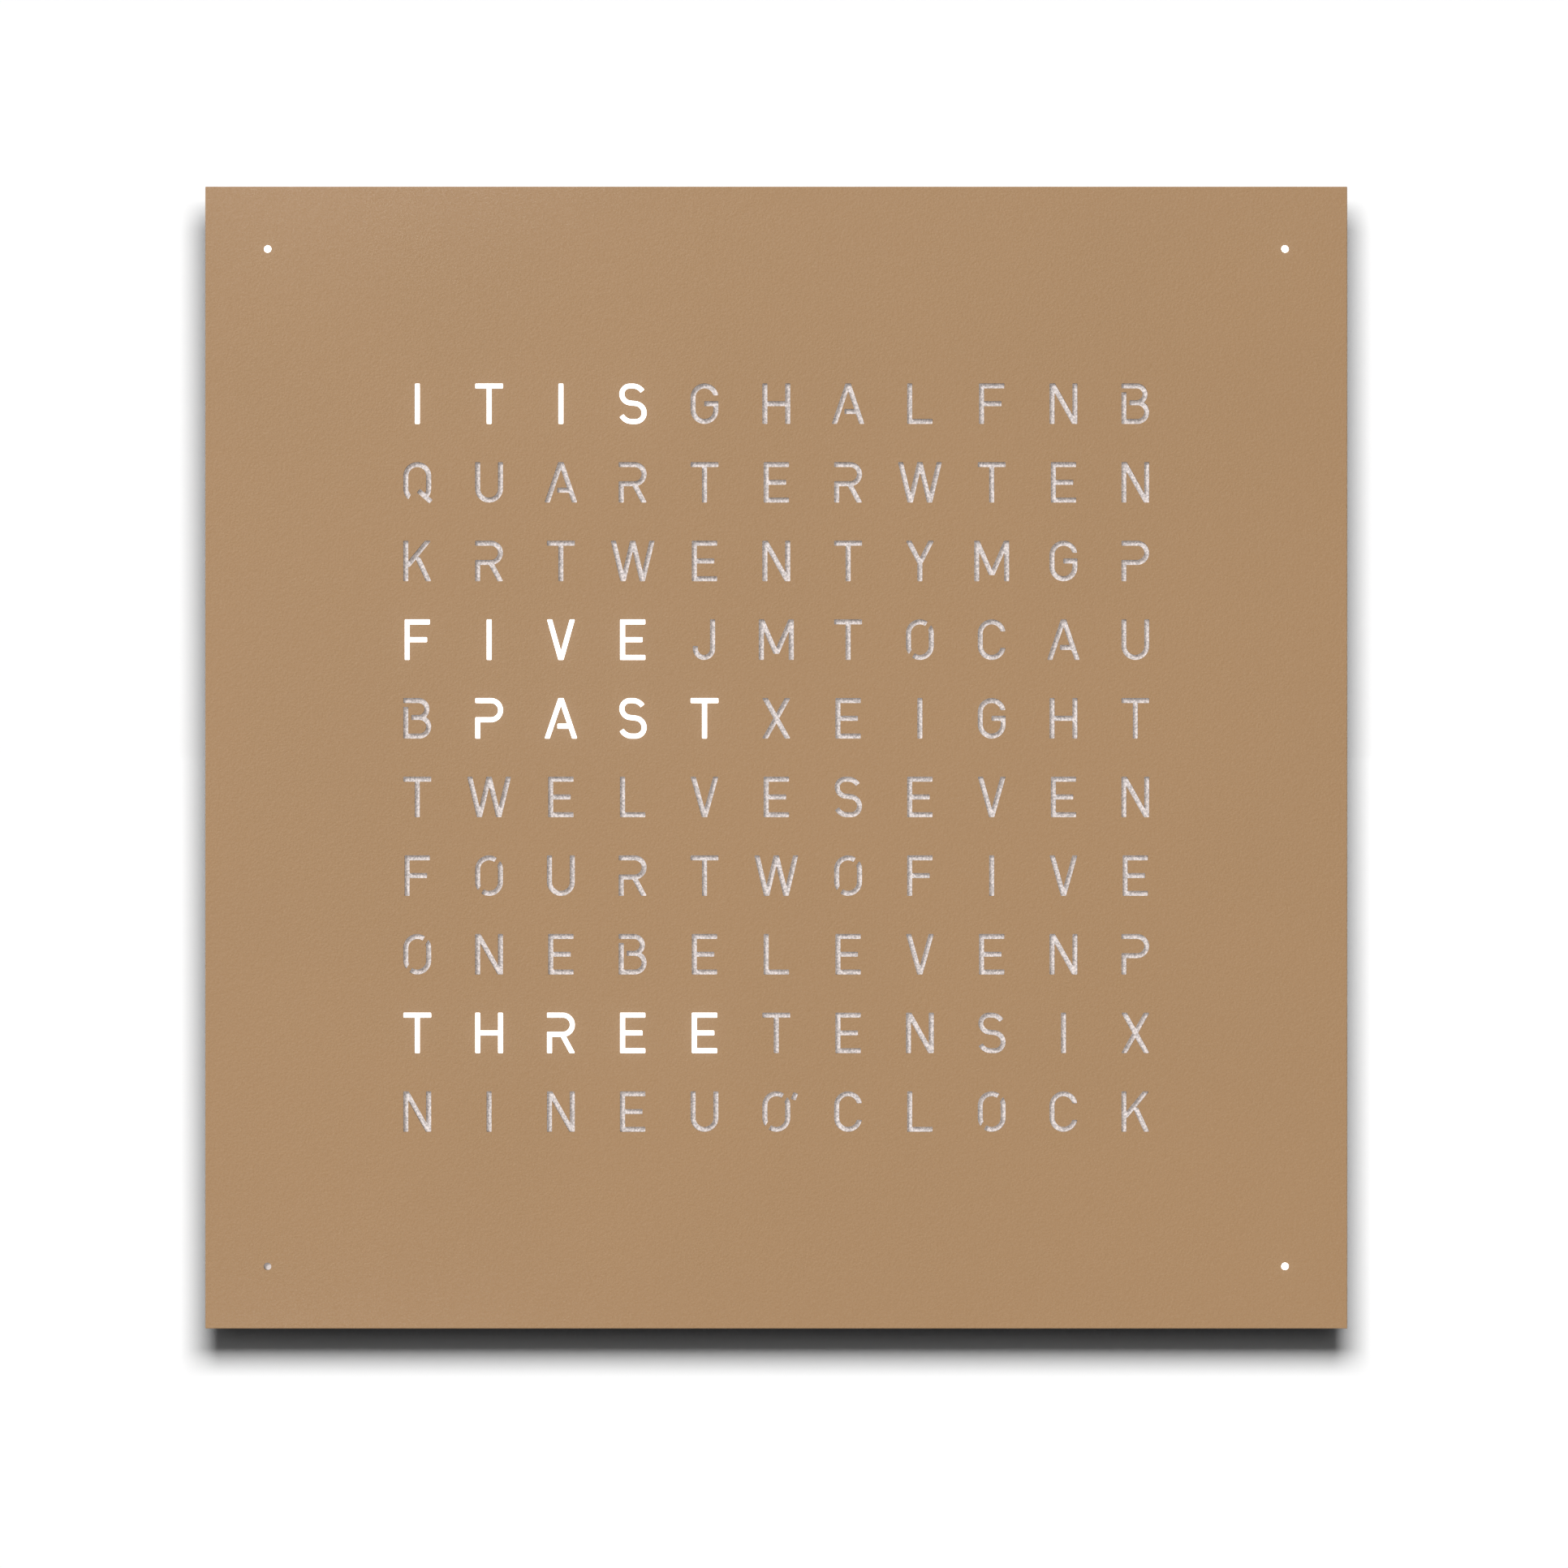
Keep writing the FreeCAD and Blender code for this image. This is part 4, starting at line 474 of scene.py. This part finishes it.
def capacitor_can():
    """Aluminium cans: a dull drawn side, a scored cross on top and a dark mark on one side of it."""
    can = Finish("capacitor_can")
    across, up = can.repeats(can.x, CAN_PITCH * MM), can.z - CAN_ROW * MM
    drawn = can.grain(0.3, 2.0, can.stretched(1, 0.1, 1))
    cross = can.ease(abs(across).reckon("MINIMUM", abs(across), abs(up)), 0.20 * MM, 0.10 * MM)
    top = can.ease(can.y, -(CAN_TOP - 0.05) * MM, -(CAN_TOP - 0.02) * MM)
    mark = top * can.ease(across, -1.35 * MM, -1.45 * MM)
    base = can.colours(drawn, (0.52, 0.52, 0.54), (0.74, 0.74, 0.76))
    base = can.colours(mark, base, (0.02, 0.02, 0.022))
    return can.set(Base_Color=base, Metallic=1 - mark, Roughness=0.26 + drawn * 0.16 + mark * 0.2,
                   Normal=can.bump(1 - cross * top, 0.12))


def copper_wire():
    """Enamelled copper: warm and glossy, each turn a little different."""
    wire = Finish("coil_copper", Metallic=1.0, Coat_Weight=0.6, Coat_Roughness=0.12)
    turns = wire.grain(0.6, 2.0, wire.stretched(1, 0.05, 0.05))
    base = wire.colours(turns, (0.42, 0.13, 0.05), (0.74, 0.30, 0.13))
    return wire.set(Base_Color=base, Roughness=0.18 + turns * 0.14, Normal=wire.bump(turns, 0.01))


def sintered_ferrite():
    """Pressed and fired ferrite: dark grey, matt, with crystals and small chips."""
    rod = Finish("ferrite", Specular_IOR_Level=0.5)
    crystals = rod.pebbles(0.25)
    chips = rod.ease(rod.grain(1.1, 3.0), 0.68, 0.74)
    base = rod.colours(crystals, (0.028, 0.028, 0.031), (0.075, 0.075, 0.082))
    return rod.set(Base_Color=rod.colours(chips * 0.5, base, (0.13, 0.13, 0.14)),
                   Roughness=0.50 + crystals * 0.2, Normal=rod.bump(1 - chips, 0.05))


def brushed_cell():
    """Coin cell steel: bright, brushed across, with light handling marks."""
    cell = Finish("cell_steel", Metallic=1.0)
    brushed = cell.grain(0.22, 3.0, cell.stretched(0.03, 1, 1))
    marks = cell.ease(cell.grain(2.2, 4.0), 0.5, 0.8)
    base = cell.colours(brushed, (0.52, 0.52, 0.53), (0.68, 0.68, 0.69))
    return cell.set(Base_Color=base, Roughness=0.20 + brushed * 0.14 + marks * 0.10,
                    Normal=cell.bump(brushed, 0.008))


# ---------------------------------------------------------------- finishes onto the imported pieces

def lamp_across(finish):
    """Distance across from the nearest letter lamp's middle."""
    return finish.repeats(finish.x, PITCH_ACROSS)


def lamp_up(finish):
    """Distance up from the nearest letter lamp's middle."""
    return finish.repeats(finish.z - PITCH_UP / 2, PITCH_UP)


def dot_across(finish):
    """Distance across from the nearest corner lamp's middle."""
    return abs(finish.x) - DOT_PLACE


def dot_up(finish):
    """Distance up from the nearest corner lamp's middle."""
    return abs(finish.z) - DOT_PLACE


def clad_all():
    """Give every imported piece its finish."""
    clad(tan_powder_coat(), "front_cover")
    clad(turned_steel("stud_steel", (0.56, 0.56, 0.58), "y"), "cover_studs")
    clad(opal_sheet(), "diffuser_sheet")
    clad(moulded("grid_plastic", (0.80, 0.80, 0.78), (0.88, 0.88, 0.86), 0.9, 0.03, 0.42), "light_grid")
    clad(laminate("lamp_board", "x", "z", lamp_pads=True), "led_board")
    clad(laminate("flat_board", "x", "z"), "minute_boards", "control_board")
    clad(laminate("side_board", "y", "z"), "button_board")
    clad(laminate("top_board", "x", "y"), "sensor_board")
    clad(lamp_body("lamp_body", lamp_across, lamp_up, 2.0 * MM, letter_light), "letter_leds")
    clad(lamp_body("dot_lamp", dot_across, dot_up, 1.1 * MM, dot_light), "minute_leds")
    clad(natural_nylon("spacer_nylon"), "board_standoffs", "control_standoffs", "antenna_cradles")
    clad(natural_nylon("bush_nylon"), "stud_bushes")
    clad(moulded("bezel_plastic", (0.014, 0.014, 0.015), (0.026, 0.026, 0.028), 0.55, 0.045, 0.46),
         "bezel_top", "bezel_bottom", "bezel_left", "bezel_right")
    clad(nickel("magnet_plate", (0.62, 0.62, 0.63)), "cover_magnets")
    clad(moulded("well_plastic", (0.02, 0.02, 0.021), (0.034, 0.034, 0.036), 0.4, 0.02, 0.52),
         "light_wells")
    clad(frosted_lens(), "minute_lenses")
    clad(clear_rod(), "sensor_light_pipe")
    clad(flat_lead(), "minute_leads")
    clad(anodised_rail("rail_metal", "x"), "rail_top", "rail_bottom")
    clad(anodised_rail("rail_metal_side", "z"), "rail_left", "rail_right")
    clad(zinc("key_steel", (0.58, 0.58, 0.60), 3.2), "corner_keys")
    clad(black_powder_coat(), "rear_panel")
    clad(rubber(), "wall_bumpers")
    first_legs = [(-4.0, CHIP_ROW + 4.0)] + [(place - 3.6, CHIP_ROW - 2.9) for place in DRIVER_PLACES]
    clad(epoxy("chip_body", first_legs), "microcontroller", "led_driver_chips", "sensor_chip")
    clad(epoxy("receiver_body"), "radio_receiver")
    clad(nickel("crystal_can", (0.64, 0.64, 0.66)), "clock_crystal")
    clad(capacitor_can(), "smoothing_capacitors")
    clad(moulded("holder_plastic", (0.024, 0.024, 0.027), (0.05, 0.05, 0.055), 0.3, 0.02, 0.44),
         "battery_holder", "ribbon_sockets")
    clad(brushed_cell(), "backup_cell")
    clad(moulded("jack_plastic", (0.012, 0.012, 0.012), (0.024, 0.024, 0.024), 0.5, 0.012, 0.20), "dc_jack")
    clad(turned_steel("pin_nickel", (0.70, 0.68, 0.63), "z"), "jack_pin")
    clad(ribbon_jacket(), "ribbon_cable")
    clad(sintered_ferrite(), "ferrite_antenna")
    clad(moulded("button_plastic", (0.016, 0.016, 0.016), (0.030, 0.030, 0.030), 0.25, 0.015, 0.34),
         "hour_button", "minute_button", "mode_button")
    clad(moulded("switch_plastic", (0.022, 0.022, 0.025), (0.05, 0.05, 0.056), 0.3, 0.015, 0.40),
         "tact_switches", "hour_plunger", "minute_plunger", "mode_plunger")


# ---------------------------------------------------------------- meshes from computed points

SPIN = 24


def facing_out(points, faces):
    """Turn the faces round if the volume that they enclose comes out negative."""
    fans = [(face[0], face[i], face[i + 1]) for face in faces for i in range(1, len(face) - 1)]
    a, b, c = (points[[fan[i] for fan in fans]] for i in range(3))
    volume = np.einsum("ij,ij->i", a, np.cross(b, c)).sum()
    return faces if volume > 0 else [face[::-1] for face in faces]


def many(points, faces, places):
    """The same piece at several places: its points moved by each place, its faces numbered on."""
    places = np.asarray(places, float)
    moved = (points[None] + places[:, None]).reshape(-1, 3)
    starts = [copy * len(points) for copy in range(len(places))]
    return moved, [[index + start for index in face] for start in starts for face in faces]


def joined(sets):
    """Several meshes as one: the points one after another, and each mesh's faces numbered on."""
    starts = np.cumsum([0] + [len(points) for points, faces in sets])
    numbered = [[index + start for index in face]
                for start, (points, faces) in zip(starts, sets) for face in faces]
    return np.concatenate([points for points, faces in sets]), numbered


def make_piece(name, points, faces, finish, body, slot, *stands_for):
    """A mesh that rides on a body, from points in millimetres (across, up, depth out from the wall)."""
    mesh = bpy.data.meshes.new(name)
    spots = np.stack([points[:, 0], -points[:, 2], points[:, 1]], axis=1) * MM
    mesh.from_pydata(spots.tolist(), [], facing_out(spots, faces))
    mesh.materials.append(finish.material)
    piece = bpy.data.objects.new(name, mesh)
    bpy.context.scene.collection.objects.link(piece)
    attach(piece, body)
    if stands_for:
        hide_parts(*stands_for)


def rings(radius, along, hexagon):
    """Turned surface: ring i lies at along[i]; its point at angle a is radius[i] from the axis, times
    cos 30 / cos(a within its flat - 30) where hexagon[i] is 1. The ends close on the axis."""
    angle = np.linspace(0, 2 * np.pi, SPIN, endpoint=False)
    flat = np.cos(np.pi / 6) / np.cos(np.mod(angle, np.pi / 3) - np.pi / 6)
    outward = radius * (1 + hexagon[:, None] * (flat - 1))
    count = len(along)
    grid = np.stack([outward * np.cos(angle), outward * np.sin(angle), np.repeat(along[:, None], SPIN, 1)],
                    axis=-1)
    ends = np.array([[0, 0, along[0]], [0, 0, along[-1]]])
    points = np.concatenate([grid.reshape(-1, 3), ends])
    row, column = np.meshgrid(np.arange(count - 1), np.arange(SPIN), indexing="ij")
    first, second = row * SPIN + column, row * SPIN + (column + 1) % SPIN
    quads = np.stack([first, second, second + SPIN, first + SPIN], axis=-1).reshape(-1, 4).tolist()
    turn = np.arange(SPIN)
    after = (turn + 1) % SPIN
    start = np.stack([after, turn, np.full(SPIN, count * SPIN)], axis=1).tolist()
    last = (count - 1) * SPIN
    stop = np.stack([last + turn, last + after, np.full(SPIN, count * SPIN + 1)], axis=1).tolist()
    return points, quads + start + stop


def swept(section, loops):
    """A closed section carried along a path: point j of the section at step i lies at section[i, j]. Quads
    join each step to the next one; where the path doesn't loop, its two ends are closed flat."""
    steps, corners = section.shape[:2]
    row, column = np.meshgrid(np.arange(steps if loops else steps - 1), np.arange(corners), indexing="ij")
    after, beside = (row + 1) % steps, (column + 1) % corners
    quads = np.stack([row * corners + column, row * corners + beside, after * corners + beside,
                      after * corners + column], axis=-1).reshape(-1, 4).tolist()
    last = (steps - 1) * corners
    ends = [] if loops else [list(range(corners))[::-1], [last + j for j in range(corners)]]
    return section.reshape(-1, 3), quads + ends


# ---------------------------------------------------------------- new pieces

def screw(face, foot, shank, head, sink, straight, socket, socket_depth):
    """A screw from its face to its foot: hexagon socket, head, and a thread whose radius falls by its depth
    and back once a pitch, with the low point moving round once a turn. shank, head and socket are radii,
    and sink is the head's height. A straight head is a cylinder; any other narrows to the shank."""
    inward, length = np.sign(foot - face), abs(foot - face)
    edge, pitch, thread_depth = 0.12, 0.5, 0.18
    profile = [(socket, socket_depth, 1), (socket, 0.06, 1), (socket + 0.08, 0, 0), (head - edge, 0, 0),
               (head, edge, 0)]
    profile += [(head, sink, 0), (shank, sink, 0)] if straight else [(shank, sink, 0)]
    radius, along, hexagon = (np.array(column, float) for column in zip(*profile))
    thread = np.arange(sink + 0.15, length - 0.25, pitch / 5)
    angle = np.linspace(0, 2 * np.pi, SPIN, endpoint=False)
    groove = thread_depth * (0.5 - 0.5 * np.cos(2 * np.pi * thread[:, None] / pitch + angle))
    tip = np.array([[shank - 0.1], [shank - 0.3]]) * np.ones(SPIN)
    radius = np.concatenate([radius[:, None] * np.ones(SPIN), shank - groove, tip])
    along = np.concatenate([along, thread, [length - 0.2, length]])
    hexagon = np.concatenate([hexagon, np.zeros(len(thread) + 2)])
    return rings(radius, face + inward * along, hexagon)


def four_sides(along, out):
    """Places on the four sides of a square, this far out, at each distance along a side."""
    level = [(place, sign * out) for place in along for sign in (-1, 1)]
    upright = [(sign * out, place) for place in along for sign in (-1, 1)]
    return level + upright


def four_corners(across, up):
    """Places at the corners of a rectangle, this far from its middle."""
    return [(a * across, b * up) for a in (-1, 1) for b in (-1, 1)]


def make_screws():
    """Every screw, with a hexagon socket in its head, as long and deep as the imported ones."""
    plated = zinc("screw_steel", (0.40, 0.40, 0.42), 1.6)
    dark = zinc("blackened_screw", (0.075, 0.075, 0.08), 1.6)
    sizes = ("shank", "head", "sink", "straight", "socket", "socket_depth")
    flush = dict(zip(sizes, (1.5, 2.72, 1.32, False, 0.95, 0.95)))
    small = dict(zip(sizes, (1.25, 2.17, 1.25, False, 0.8, 0.8)))
    raised = dict(zip(sizes, (1.5, 2.75, 1.8, True, 1.25, 1.1)))
    flange_line, bezel_line, key_place = 205.0, 208.0, 182.7
    board_side, board_top, board_place = 161.25, 160.6, 110.0
    control_side, control_rows = 80.5, (-195.4, -172.1)

    def screws(name, node, finish, kind, places, from_behind=False):
        back, front = depths(node)
        ends = (back, front) if from_behind else (front, back)
        spots = [(across, up, 0) for across, up in places]
        make_piece(name, *many(*screw(*ends, **kind), spots), finish, "housing", "screw_steel", node)

    screws("rear_panel_screw_set", "rear_panel_screws", plated, flush,
           four_sides((-130, 0, 130), flange_line), from_behind=True)
    screws("bezel_screw_set", "bezel_screws", dark, small, four_sides((-150, 0, 150), bezel_line))
    screws("corner_key_screw_set", "corner_key_screws", plated, raised,
           four_corners(flange_line, key_place) + four_corners(key_place, flange_line))
    screws("led_board_screw_set", "board_screws", plated, raised,
           four_corners(board_side, board_place) + four_corners(board_place, board_top))
    screws("control_board_screw_set", "control_screws", plated, raised,
           [(side * control_side, up) for side in (-1, 1) for up in control_rows])


def winding():
    """Round wire wound side by side. At a place along the rod and an angle round it, the radius is the
    crest's less the round of the wire, and the crests move on by one wire in a turn."""
    start, stop = reach("antenna_coil", "x")
    axis_depth, painted_dark_hole, crest, wire = 8.3, 4.05, 4.70, 0.52
    along = np.linspace(start, stop, 301)
    angle = np.linspace(0, 2 * np.pi, 32, endpoint=False)
    turn = np.mod(along / wire + angle[:, None] / (2 * np.pi), 1.0) - 0.5
    outer = crest - wire / 2 + np.sqrt(0.25 - turn ** 2) * wire
    radius = np.concatenate([outer, np.full((len(angle), 2), painted_dark_hole)], axis=1)
    across = np.broadcast_to(np.append(along, [stop, start]), radius.shape)
    up, out = CHIP_ROW + radius * np.sin(angle)[:, None], axis_depth + radius * np.cos(angle)[:, None]
    return swept(np.stack([across, up, out], axis=-1), True)


def chip_legs(half, leave, count, pitch, headings, centres):
    """Gull-wing legs: a line that leaves the chip's side, half its width from its middle, at the height
    leave, drops to the board and ends in a foot, carried with a flat strip square to it. Each leg is turned
    to its heading about its chip's middle."""
    out = half + np.array([-0.15, 0.30, 0.45, 0.62, 1.05])
    foot = 0.09
    rise = foot + (leave - foot) * np.array([1, 1, 0.8, 0, 0])
    run, climb = np.gradient(out), np.gradient(rise)
    tilt = np.stack([-climb, run], axis=1) / np.hypot(run, climb)[:, None]
    wide, thick = 0.21 * np.array([-1, 1, 1, -1]), 0.08 * np.array([-1, -1, 1, 1])
    outward = out[:, None] + tilt[:, :1] * thick
    height = BOARD_FACE + rise[:, None] + tilt[:, 1:] * thick
    steps = (np.arange(count) - (count - 1) / 2) * pitch
    sets = []
    for heading in headings:
        turn, lean = np.cos(heading), np.sin(heading)
        strip = np.stack([outward * turn - wide * lean, outward * lean + wide * turn, height], axis=-1)
        places = [(centre - lean * step, CHIP_ROW + turn * step, 0) for centre in centres for step in steps]
        sets.append(many(*swept(strip, False), places))
    return sets


def make_board_parts():
    """The aerial's winding, and the legs of the controller, left and right, and of the drivers, above and
    below."""
    make_piece("antenna_winding", *winding(), copper_wire(), "housing", "coil_copper", "antenna_coil")
    legs = chip_legs(half=5.0, leave=0.70, count=8, pitch=1.1, headings=(0, np.pi), centres=(0,))
    legs += chip_legs(half=3.75, leave=1.15, count=7, pitch=1.27, headings=(np.pi / 2, -np.pi / 2),
                      centres=DRIVER_PLACES)
    make_piece("chip_leg_set", *joined(legs), nickel("leg_tin", (0.62, 0.62, 0.60)), "housing", "pin_nickel")


# ---------------------------------------------------------------- room, lamps and camera

def painted_plane(name, corners, tone):
    """A plain painted rectangle of the room. It is clear when seen from its back."""
    mesh = bpy.data.meshes.new(name)
    mesh.from_pydata(corners, [], [(0, 1, 2, 3)])
    paint = Finish(name, Roughness=0.9, Specular_IOR_Level=0.1)
    cloud = paint.grain(900, 2.0)
    paint.set(Base_Color=paint.colours(cloud, tone, tuple(part * 0.99 for part in tone)))
    tree = paint.tree
    clear = tree.nodes.new("ShaderNodeBsdfTransparent")
    either = tree.nodes.new("ShaderNodeMixShader")
    rear = paint.node("ShaderNodeNewGeometry", {}, {}, "Backfacing")
    tree.links.new(rear.socket, either.inputs[0])
    tree.links.new(paint.shader.outputs[0], either.inputs[1])
    tree.links.new(clear.outputs[0], either.inputs[2])
    tree.links.new(either.outputs[0], paint.result.inputs["Surface"])
    mesh.materials.append(paint.material)
    flat = bpy.data.objects.new(name, mesh)
    bpy.context.scene.collection.objects.link(flat)
    return flat


def stage_room():
    """A white wall behind the clock, in four quarters that throw no shadow, and a pale floor."""
    low, high, wide, deep, behind = -0.86, 0.95, 1.0, 2.2, 0.4 * MM
    for name, left, right, foot, top in (("wall_upper_left", -wide, 0, 0, high),
                                         ("wall_upper_right", 0, wide, 0, high),
                                         ("wall_lower_left", -wide, 0, low, 0),
                                         ("wall_lower_right", 0, wide, low, 0)):
        wall = painted_plane(name, [(left, behind, foot), (right, behind, foot), (right, behind, top),
                                    (left, behind, top)], (1.0, 1.0, 1.0))
        wall.visible_shadow = False
    floor = painted_plane("floor", [(-deep, -deep, low), (deep, -deep, low), (deep, deep, low),
                                    (-deep, deep, low)], (0.80, 0.79, 0.78))
    floor.visible_diffuse = floor.visible_shadow = False


def soft_light(name, place, size, watts, only=None, aim=(0, 0, 0)):
    """A rectangular soft box at a place, turned to face a point. It may light one group of pieces only."""
    data = bpy.data.lights.new(name, "AREA")
    data.shape = "RECTANGLE"
    data.size, data.size_y = size
    data.energy = watts
    lamp = bpy.data.objects.new(name, data)
    lamp.location = place
    lamp.visible_camera = False
    lamp.rotation_euler = (Vector(aim) - Vector(place)).to_track_quat("-Z", "Y").to_euler()
    lamp.light_linking.receiver_collection = only
    bpy.context.scene.collection.objects.link(lamp)


def lamp_group(name, *pieces, kept_off=False):
    """A group of pieces that a lamp is kept to, or kept off."""
    group = bpy.data.collections.new(name)
    for piece in pieces:
        group.objects.link(bpy.data.objects[piece])
    for member in group.collection_objects:
        member.light_linking.link_state = "EXCLUDE" if kept_off else "INCLUDE"
    return group


def light_walls():
    """One far soft box for each quarter of the wall, across, up and as high as given. A box's light on the
    wall falls with its distance squared and with its slant, so its power grows with its distance cubed over
    its distance out, and all four quarters come out equally bright."""
    out, breadth, brightness = 32.0, 24.0, 3.15
    boxes = {"wall_upper_left": (6.2, 15.0, 19.2), "wall_upper_right": (-5.4, 15.0, 19.2),
             "wall_lower_left": (6.2, 23.0, 14.7), "wall_lower_right": (-5.4, 23.0, 14.7)}
    for wall, (across, up, height) in boxes.items():
        away = (across ** 2 + out ** 2 + up ** 2) ** 0.5
        soft_light("wall_key", (across, -out, up), (breadth, height), brightness * np.pi * away ** 3 / out,
                   lamp_group(wall + "_light", wall))
    return tuple(boxes)


def light_room():
    """Soft boxes for the walls; a key for all else from the upper left; a low fill; a fill for the dial; two
    panels that show as a sheen on the plate's left corners; fills for the dark sides, underside and back;
    and a wash for the floor."""
    walls = light_walls()
    soft_light("key", (-13.0, -32.4, 12.5), (12.0, 12.0), 14850, lamp_group("clock", *walls, kept_off=True))
    soft_light("low_fill", (0, -8.7, 2.7), (9.0, 3.6), 88)
    plate = lamp_group("plate", "front_cover")
    face = lamp_group("face", "front_cover", "diffuser_sheet", "minute_lenses")
    soft_light("face_fill", (0.4, -1.3, -0.95), (1.2, 0.8), 3.2, face)
    soft_light("top_sheen", (-0.55, -6.0, 0.93), (0.5, 0.22), 4.5, plate, aim=(-0.15, 0, 0.22))
    soft_light("low_sheen", (-0.60, -6.0, -0.92), (0.6, 0.22), 5, plate, aim=(-0.15, 0, -0.22))
    dark_pieces = ("rail_top", "rail_bottom", "rail_left", "rail_right", "rear_panel", "wall_bumpers",
                   "dc_jack", "jack_pin", "hour_button", "minute_button", "mode_button",
                   "sensor_light_pipe", "rear_panel_screw_set")
    outside = lamp_group("outside", *dark_pieces)
    for side in (-1, 1):
        soft_light("side_fill", (side * 2.4, -0.6, 0.3), (1.4, 1.6), 45, outside)
    soft_light("under_fill", (0, -1.0, -2.2), (1.6, 1.6), 45, outside)
    back = lamp_group("back", "front_cover", *dark_pieces)
    soft_light("back_fill", (-1.6, 1.9, 1.6), (3.0, 3.0), 100, back)
    soft_light("back_sheen", (1.7, 2.0, -0.1), (2.0, 2.6), 50, back, aim=(0.1, 0, 0.1))
    soft_light("floor_wash", (0, 0, 12.0), (8.0, 8.0), 1050, lamp_group("ground", "floor"))


def surround_room():
    """A white surround, at full strength to the view and in reflections, and faint as light on surfaces."""
    world = bpy.data.worlds.new("surround")
    world.use_nodes = True
    tree = world.node_tree
    surround = tree.nodes["Background"]
    surround.inputs["Color"].default_value = (1, 1, 1, 1)
    path = tree.nodes.new("ShaderNodeLightPath")
    level = tree.nodes.new("ShaderNodeMapRange")
    level.inputs["To Min"].default_value = 1.0
    level.inputs["To Max"].default_value = 0.035
    tree.links.new(path.outputs["Is Diffuse Ray"], level.inputs["Value"])
    tree.links.new(level.outputs[0], surround.inputs["Strength"])
    bpy.context.scene.world = world


def soften_lamps():
    """The faint bloom that a lens gives to the lit letters: only light above white spreads."""
    scene = bpy.context.scene
    scene.use_nodes = True
    tree = scene.node_tree
    tree.nodes.clear()
    layers, bloom, result = (tree.nodes.new("CompositorNode" + kind)
                             for kind in ("RLayers", "Glare", "Composite"))
    bloom.glare_type = "BLOOM"
    for key, value in {"Threshold": 1.25, "Strength": 0.25, "Size": 0.12}.items():
        bloom.inputs[key].default_value = value
    tree.links.new(layers.outputs["Image"], bloom.inputs["Image"])
    tree.links.new(bloom.outputs["Image"], result.inputs["Image"])


def place_camera():
    """A long lens square on to the plate, a little to the right of its middle and below it."""
    distance = 2.5
    data = bpy.data.cameras.new("camera")
    data.sensor_width = 36.0
    data.lens = data.sensor_width * distance / FRAME_WIDTH
    camera = bpy.data.objects.new("camera", data)
    pixel = FRAME_WIDTH / IMAGE_PIXELS
    camera.location = (MIDDLE_LEFT * pixel, -PLATE_FRONT * MM - distance, -MIDDLE_UP * pixel)
    camera.rotation_euler = (np.pi / 2, 0, 0)
    bpy.context.scene.collection.objects.link(camera)
    bpy.context.scene.camera = camera
    bpy.context.scene.view_settings.view_transform = "Standard"
    bpy.context.scene.view_settings.gamma = 0.86


place_camera()
stage_room()
clad_all()
make_screws()
make_board_parts()
light_room()
surround_room()
soften_lamps()
